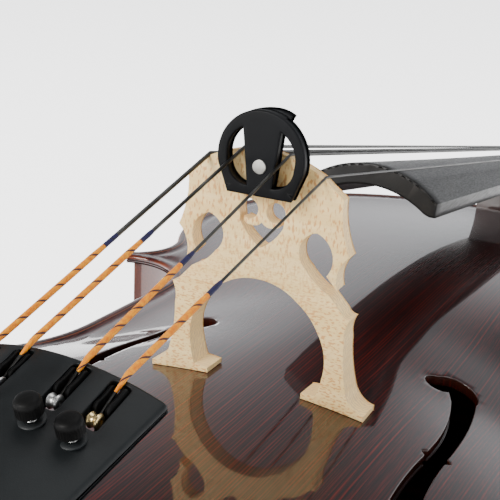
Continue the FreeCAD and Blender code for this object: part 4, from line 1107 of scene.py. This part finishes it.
def knurled(radius, profile, ridges, depth, count):
    """A lathe shape whose rim carries fine ridges; profile points are (share of radius, height, ridged)."""
    angle = np.arange(count) * 2 * math.pi / count
    ridge = depth * np.abs(np.sin(angle * ridges / 2))
    rings = []
    for share, z, on in profile:
        reach = radius * share - ridge * on
        rings.append(np.column_stack([reach * np.cos(angle), reach * np.sin(angle), np.full(count, z)]))
    return loft(rings)


def make_tuners():
    arm = trace((-12.8, -5.9), [
        (-14.2, -8.0), (-26.6, -8.0), ((-27.3, -9.3), (-26.6, -10.6)), (-6.0, -11.0),
        ((-3.7, -10.2), (-3.0, -8.0)), (-3.0, -5.9), (-12.8, -5.9)], 0.6)[:-1]
    prong = trace((-12.6, -6.4), [
        (-3.0, -6.4), (-3.0, -1.2), ((-3.5, 0.3), (-4.8, 0.75)), ((-7.6, 0.5), (-10.2, 0.75)),
        ((-12.1, 0.3), (-12.6, -1.0)), (-12.6, -6.4)], 0.6)[:-1][::-1]
    thread = [(0.01, 0), (1.1, 0), (1.4, 0.25)]
    for turn in range(20):
        thread += [(1.5, 0.4 + turn * SCREW_PITCH), (1.25, 0.65 + turn * SCREW_PITCH)]
    thread += [(1.5, 10.4), (1.5, 12.0), (0.01, 12.0)]
    for name, _, x, *_ in STRINGS:
        seat = TAIL_FRAME @ shifted(x, 0, -tail_drop(x))
        levers, screws, knobs = ("tuner_%s_%s_body" % (kind, name) for kind in ("lever", "screw", "knob"))
        lever = merged([slab([shape], level(high), level(low), 0.5, 3.0, 3)
                        for shape, high, low in ((arm, 2.5, -2.5), (prong, 2.5, 1.3), (prong, -1.3, -2.5))])
        build("fine_lever_" + name, lever, "tuner_black", seat @ SIDEWAYS, "tuner_lever_" + name, levers)
        ball = bored([(0.75, -1.7), (1.6, -1.7), (2.0, -1.55), (2.2, -1.1), (1.75, -0.45), (1.75, 0.45),
                      (2.2, 1.1), (2.0, 1.55), (1.6, 1.7), (0.75, 1.7), (0.6, 0.0)], 40)
        spot = TAIL_FRAME @ shifted(x, -15.0, -tail_drop(x) - 1.6) @ SIDE_ON
        finish = "ball_brass" if name in "ca" else "screw_steel"
        build("fine_ball_" + name, ball, finish, spot, "ball_end_" + name, levers)
        foot = TAIL_FRAME @ shifted(x, -SCREW_SET, -tail_drop(x) - 7.9)
        build("fine_screw_" + name, lathe(thread, 28), "screw_steel", foot, "tuner_screw_" + name, screws, 25)
        knob = knurled(3.7, [(0.42, 0.0, 0), (0.90, 0.0, 0), (0.985, 0.18, 0), (1.0, 0.45, 1), (1.0, 2.9, 1),
                             (0.985, 3.25, 0), (0.93, 3.9, 0), (0.84, 4.4, 0), (0.70, 4.75, 0), (0.42, 4.93, 0),
                             (0.2, 5.0, 0), (0.01, 5.0, 0)], 28, 0.13, 112)
        spot = foot @ shifted(0, 0, 10.4)
        build("fine_knob_" + name, knob, "tuner_black", spot, "tuner_knob_" + name, knobs, 40)


# ---------------------------------------------------------------- pegs and endpin
def make_pegs():
    radius_of = {item[0]: item[5] for item in STRINGS}
    for name, station, side in PEGS:
        axle = HEAD_FRAME @ shifted(side * 30, BOX_START + station, PEG_DEPTH)
        axle = axle @ Matrix.Rotation(side * math.pi / 2, 4, "Y")
        turned = lathe([
            (0.01, -56.0), (4.4, -56.0), (5.2, -55.3), (6.5, 0.0), (8.6, 0.1), (9.9, 0.7), (10.5, 1.9),
            (10.3, 3.1), (9.4, 4.2), (9.6, 4.9), (9.1, 5.8), (7.4, 6.3), (6.2, 7.6), (5.1, 10.4),
            (4.7, 13.6), (4.9, 17.0), (3.6, 19.5), (0.01, 21.0)], 56)
        u, v = np.meshgrid(np.linspace(0, 2 * math.pi, 49)[:-1], np.linspace(0, math.pi, 33))
        across = np.sin(v) * np.sin(u)
        wide = 18.0 * np.cos(v)
        tall = 15.0 * np.sin(v) * np.cos(u)
        waist = 1 - 0.22 * np.exp(-((tall + 13) / 5) ** 2)
        dish = 4.5 * across * (0.62 + 0.38 * (np.abs(wide) / 18) ** 2)
        rings = np.stack([wide * waist, dish, tall + 31.0], -1)
        thumb = loft(list(rings))
        button = lathe([(0.01, 45.0), (1.6, 45.2), (2.6, 46.4), (2.9, 47.6), (2.4, 48.9), (1.2, 49.6),
                        (0.01, 49.8)], 32)
        whole = merged([turned, thumb, moved(button, shifted(0, 0, -3.4))])
        body = "peg_%s_body" % name
        build("fine_peg_" + name, whole, "ebony", axle, "peg_" + name, body, 40)
        radius = radius_of[name]
        start = -side * 2.0 - 4.0 + radius
        span = 8.0 - 2 * radius
        turns = span / (2 * radius + 0.05)
        angle = np.linspace(0, turns * 2 * math.pi, int(turns * 40))
        x = start + span * angle / angle[-1]
        shank = np.interp(side * 30 - x if side > 0 else x + 30, [0, 56], [6.5, 5.25])
        reach = shank + radius * 1.02
        phase = math.pi / 2
        way = np.column_stack([x, reach * np.cos(angle + phase), reach * np.sin(angle + phase)])
        place = HEAD_FRAME @ shifted(0, BOX_START + station, PEG_DEPTH)
        build("fine_coil_" + name, tube(way, radius, 10), "silk_orange", place, "string_coil_" + name, body, 60)


def make_endpin():
    out = shifted(0, BOTTOM, MIDDLE) @ UPRIGHT
    socket = bored([
        (5.06, -53), (11.3, -53), (12.3, 0.0), (12.0, 0.4), (12.0, 4.4), (13.6, 4.5), (15.2, 4.8),
        (16.0, 5.9), (16.0, 8.2), (15.4, 9.8), (13.9, 10.9), (12.2, 11.4), (11.0, 12.3), (11.0, 24.0),
        (10.7, 25.6), (9.6, 26.7), (8.0, 27.0), (5.5, 27.0), (5.06, 26.5)], 72)
    build("fine_socket", socket, "ebony", out, "endpin_socket", smooth=40)
    ferrule = bored([(5.3, 26.4), (7.6, 26.4), (7.9, 26.7), (7.9, 27.2), (7.6, 27.5), (5.3, 27.5)], 56)
    build("socket_ferrule", ferrule, "clamp_brass", out)
    rod = lathe([(0.01, -426.0), (4.3, -426.0), (5.0, -425.2), (5.0, 43.6), (4.6, 44.0), (0.01, 44.0)], 56)
    build("fine_rod", rod, "rod_steel", out, "endpin_rod", "endpin_body")
    profile = [(5.02, 32.0), (7.2, 32.0), (7.9, 32.5), (8.0, 33.3)]
    for groove in range(4):
        profile += [(r, z + groove * 3.2) for r, z in ((8.0, 36.2), (7.55, 36.6), (7.55, 37.3), (8.0, 37.7))]
    profile += [(8 * math.cos(a), 54 + 8 * math.sin(a)) for a in np.linspace(0, math.pi / 2 - 0.02, 12)]
    build("fine_tip", lathe(profile, 64), "tip_rubber", out, "endpin_tip", "endpin_body", 30)
    shank = lathe([(0.01, 5.1), (2.2, 5.1), (2.5, 5.5), (2.5, 15.6), (0.01, 15.6)], 32)
    head = knurled(7.5, [(0.3, 15.5, 0), (0.93, 15.5, 0), (1.0, 16.1, 1), (1.0, 23.0, 1), (0.95, 23.9, 0),
                         (0.8, 24.4, 0), (0.01, 24.5, 0)], 32, 0.35, 128)
    place = shifted(0, BOTTOM - 20, MIDDLE)
    build("fine_clamp", merged([shank, head]), "clamp_brass", place, "endpin_screw", "endpin_screw_body")


for make in (make_plates, make_ribs, make_bridge, make_mute, make_fingerboard, make_neck, make_strings,
             make_tailpiece, make_tuners, make_tailgut, make_pegs, make_endpin):
    make()

BARE_NODES = ("top_block", "bottom_block", "corner_blocks", "top_linings", "back_linings", "bass_bar",
              "sound_post")
for node in BARE_NODES + ("tuner_pins",):
    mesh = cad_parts[node].data
    mesh.materials.clear()
    mesh.materials.append(MATERIALS["bare_spruce" if node in BARE_NODES else "screw_steel"])


# ---------------------------------------------------------------- floor, light, camera
def make_stage():
    mesh = bpy.data.meshes.new("floor")
    reach = 14.0
    corners = [(-reach, -reach, 0), (reach, -reach, 0), (reach, reach, 0), (-reach, reach, 0)]
    mesh.from_pydata(corners, [], [(0, 1, 2, 3)])
    floor = bpy.data.objects.new("floor", mesh)
    floor.location.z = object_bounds()[0].z - 0.0004
    bpy.context.scene.collection.objects.link(floor)
    g = Graph("floor")
    tone = g.grain((3, 3, 3), 2.0)
    pale = g.mix(tone, (0.93, 0.93, 0.93), (0.96, 0.96, 0.96))
    mesh.materials.append(g.finish(Base_Color=pale, Roughness=0.85, Emission_Color=(1, 1, 1),
                                   Emission_Strength=2.6))


def area_light(name, spot, target, size, power, tint=(1, 1, 1)):
    data = bpy.data.lights.new(name, "AREA")
    data.shape, data.size, data.size_y = "RECTANGLE", size[0], size[1]
    data.energy, data.color = power, tint
    light = bpy.data.objects.new(name, data)
    light.location = spot
    light.rotation_euler = (Vector(target) - Vector(spot)).to_track_quat("-Z", "Y").to_euler()
    bpy.context.scene.collection.objects.link(light)


def make_light():
    world = bpy.data.worlds.new("studio")
    bpy.context.scene.world = world
    world.use_nodes = True
    tree = world.node_tree
    where = tree.nodes.new("ShaderNodeTexCoord")
    split = tree.nodes.new("ShaderNodeSeparateXYZ")
    ramp = tree.nodes.new("ShaderNodeValToRGB")
    tree.links.new(where.outputs["Generated"], split.inputs[0])
    tree.links.new(split.outputs["Z"], ramp.inputs["Fac"])
    stops = ramp.color_ramp.elements
    stops[0].position, stops[0].color = 0.30, (0.92, 0.94, 0.97, 1)
    stops[1].position, stops[1].color = 0.62, (0.10, 0.10, 0.11, 1)
    background = tree.nodes["Background"]
    tree.links.new(ramp.outputs["Color"], background.inputs["Color"])
    background.inputs["Strength"].default_value = 1.15
    area_light("key", (-1.0, -2.4, 1.7), (0, -0.2, 0.18), (1.4, 1.4), 120, (1.0, 0.98, 0.95))
    area_light("fill", (2.2, -1.0, 1.6), (0, -0.2, 0.15), (1.2, 1.2), 18)
    area_light("top", (0.2, 0.6, 2.6), (0, 0, 0.1), (2.2, 1.4), 30)


def make_camera():
    data = bpy.data.cameras.new("camera")
    data.sensor_width = 36.0
    data.lens = 73.6
    data.clip_start, data.clip_end = 0.01, 100
    camera = bpy.data.objects.new("camera", data)
    forward = Vector((-0.42600, 0.84743, -0.31685))
    down = Vector((0.18912, -0.25908, -0.94716))
    right = down.cross(forward)
    turn = Matrix((right, -down, -forward)).transposed()
    camera.matrix_world = shifted(0.15584, -0.31814 + BRIDGE * MM, 0.17226 + CROWN * MM) @ turn.to_4x4()
    bpy.context.scene.collection.objects.link(camera)
    bpy.context.scene.camera = camera


make_stage()
make_light()
make_camera()
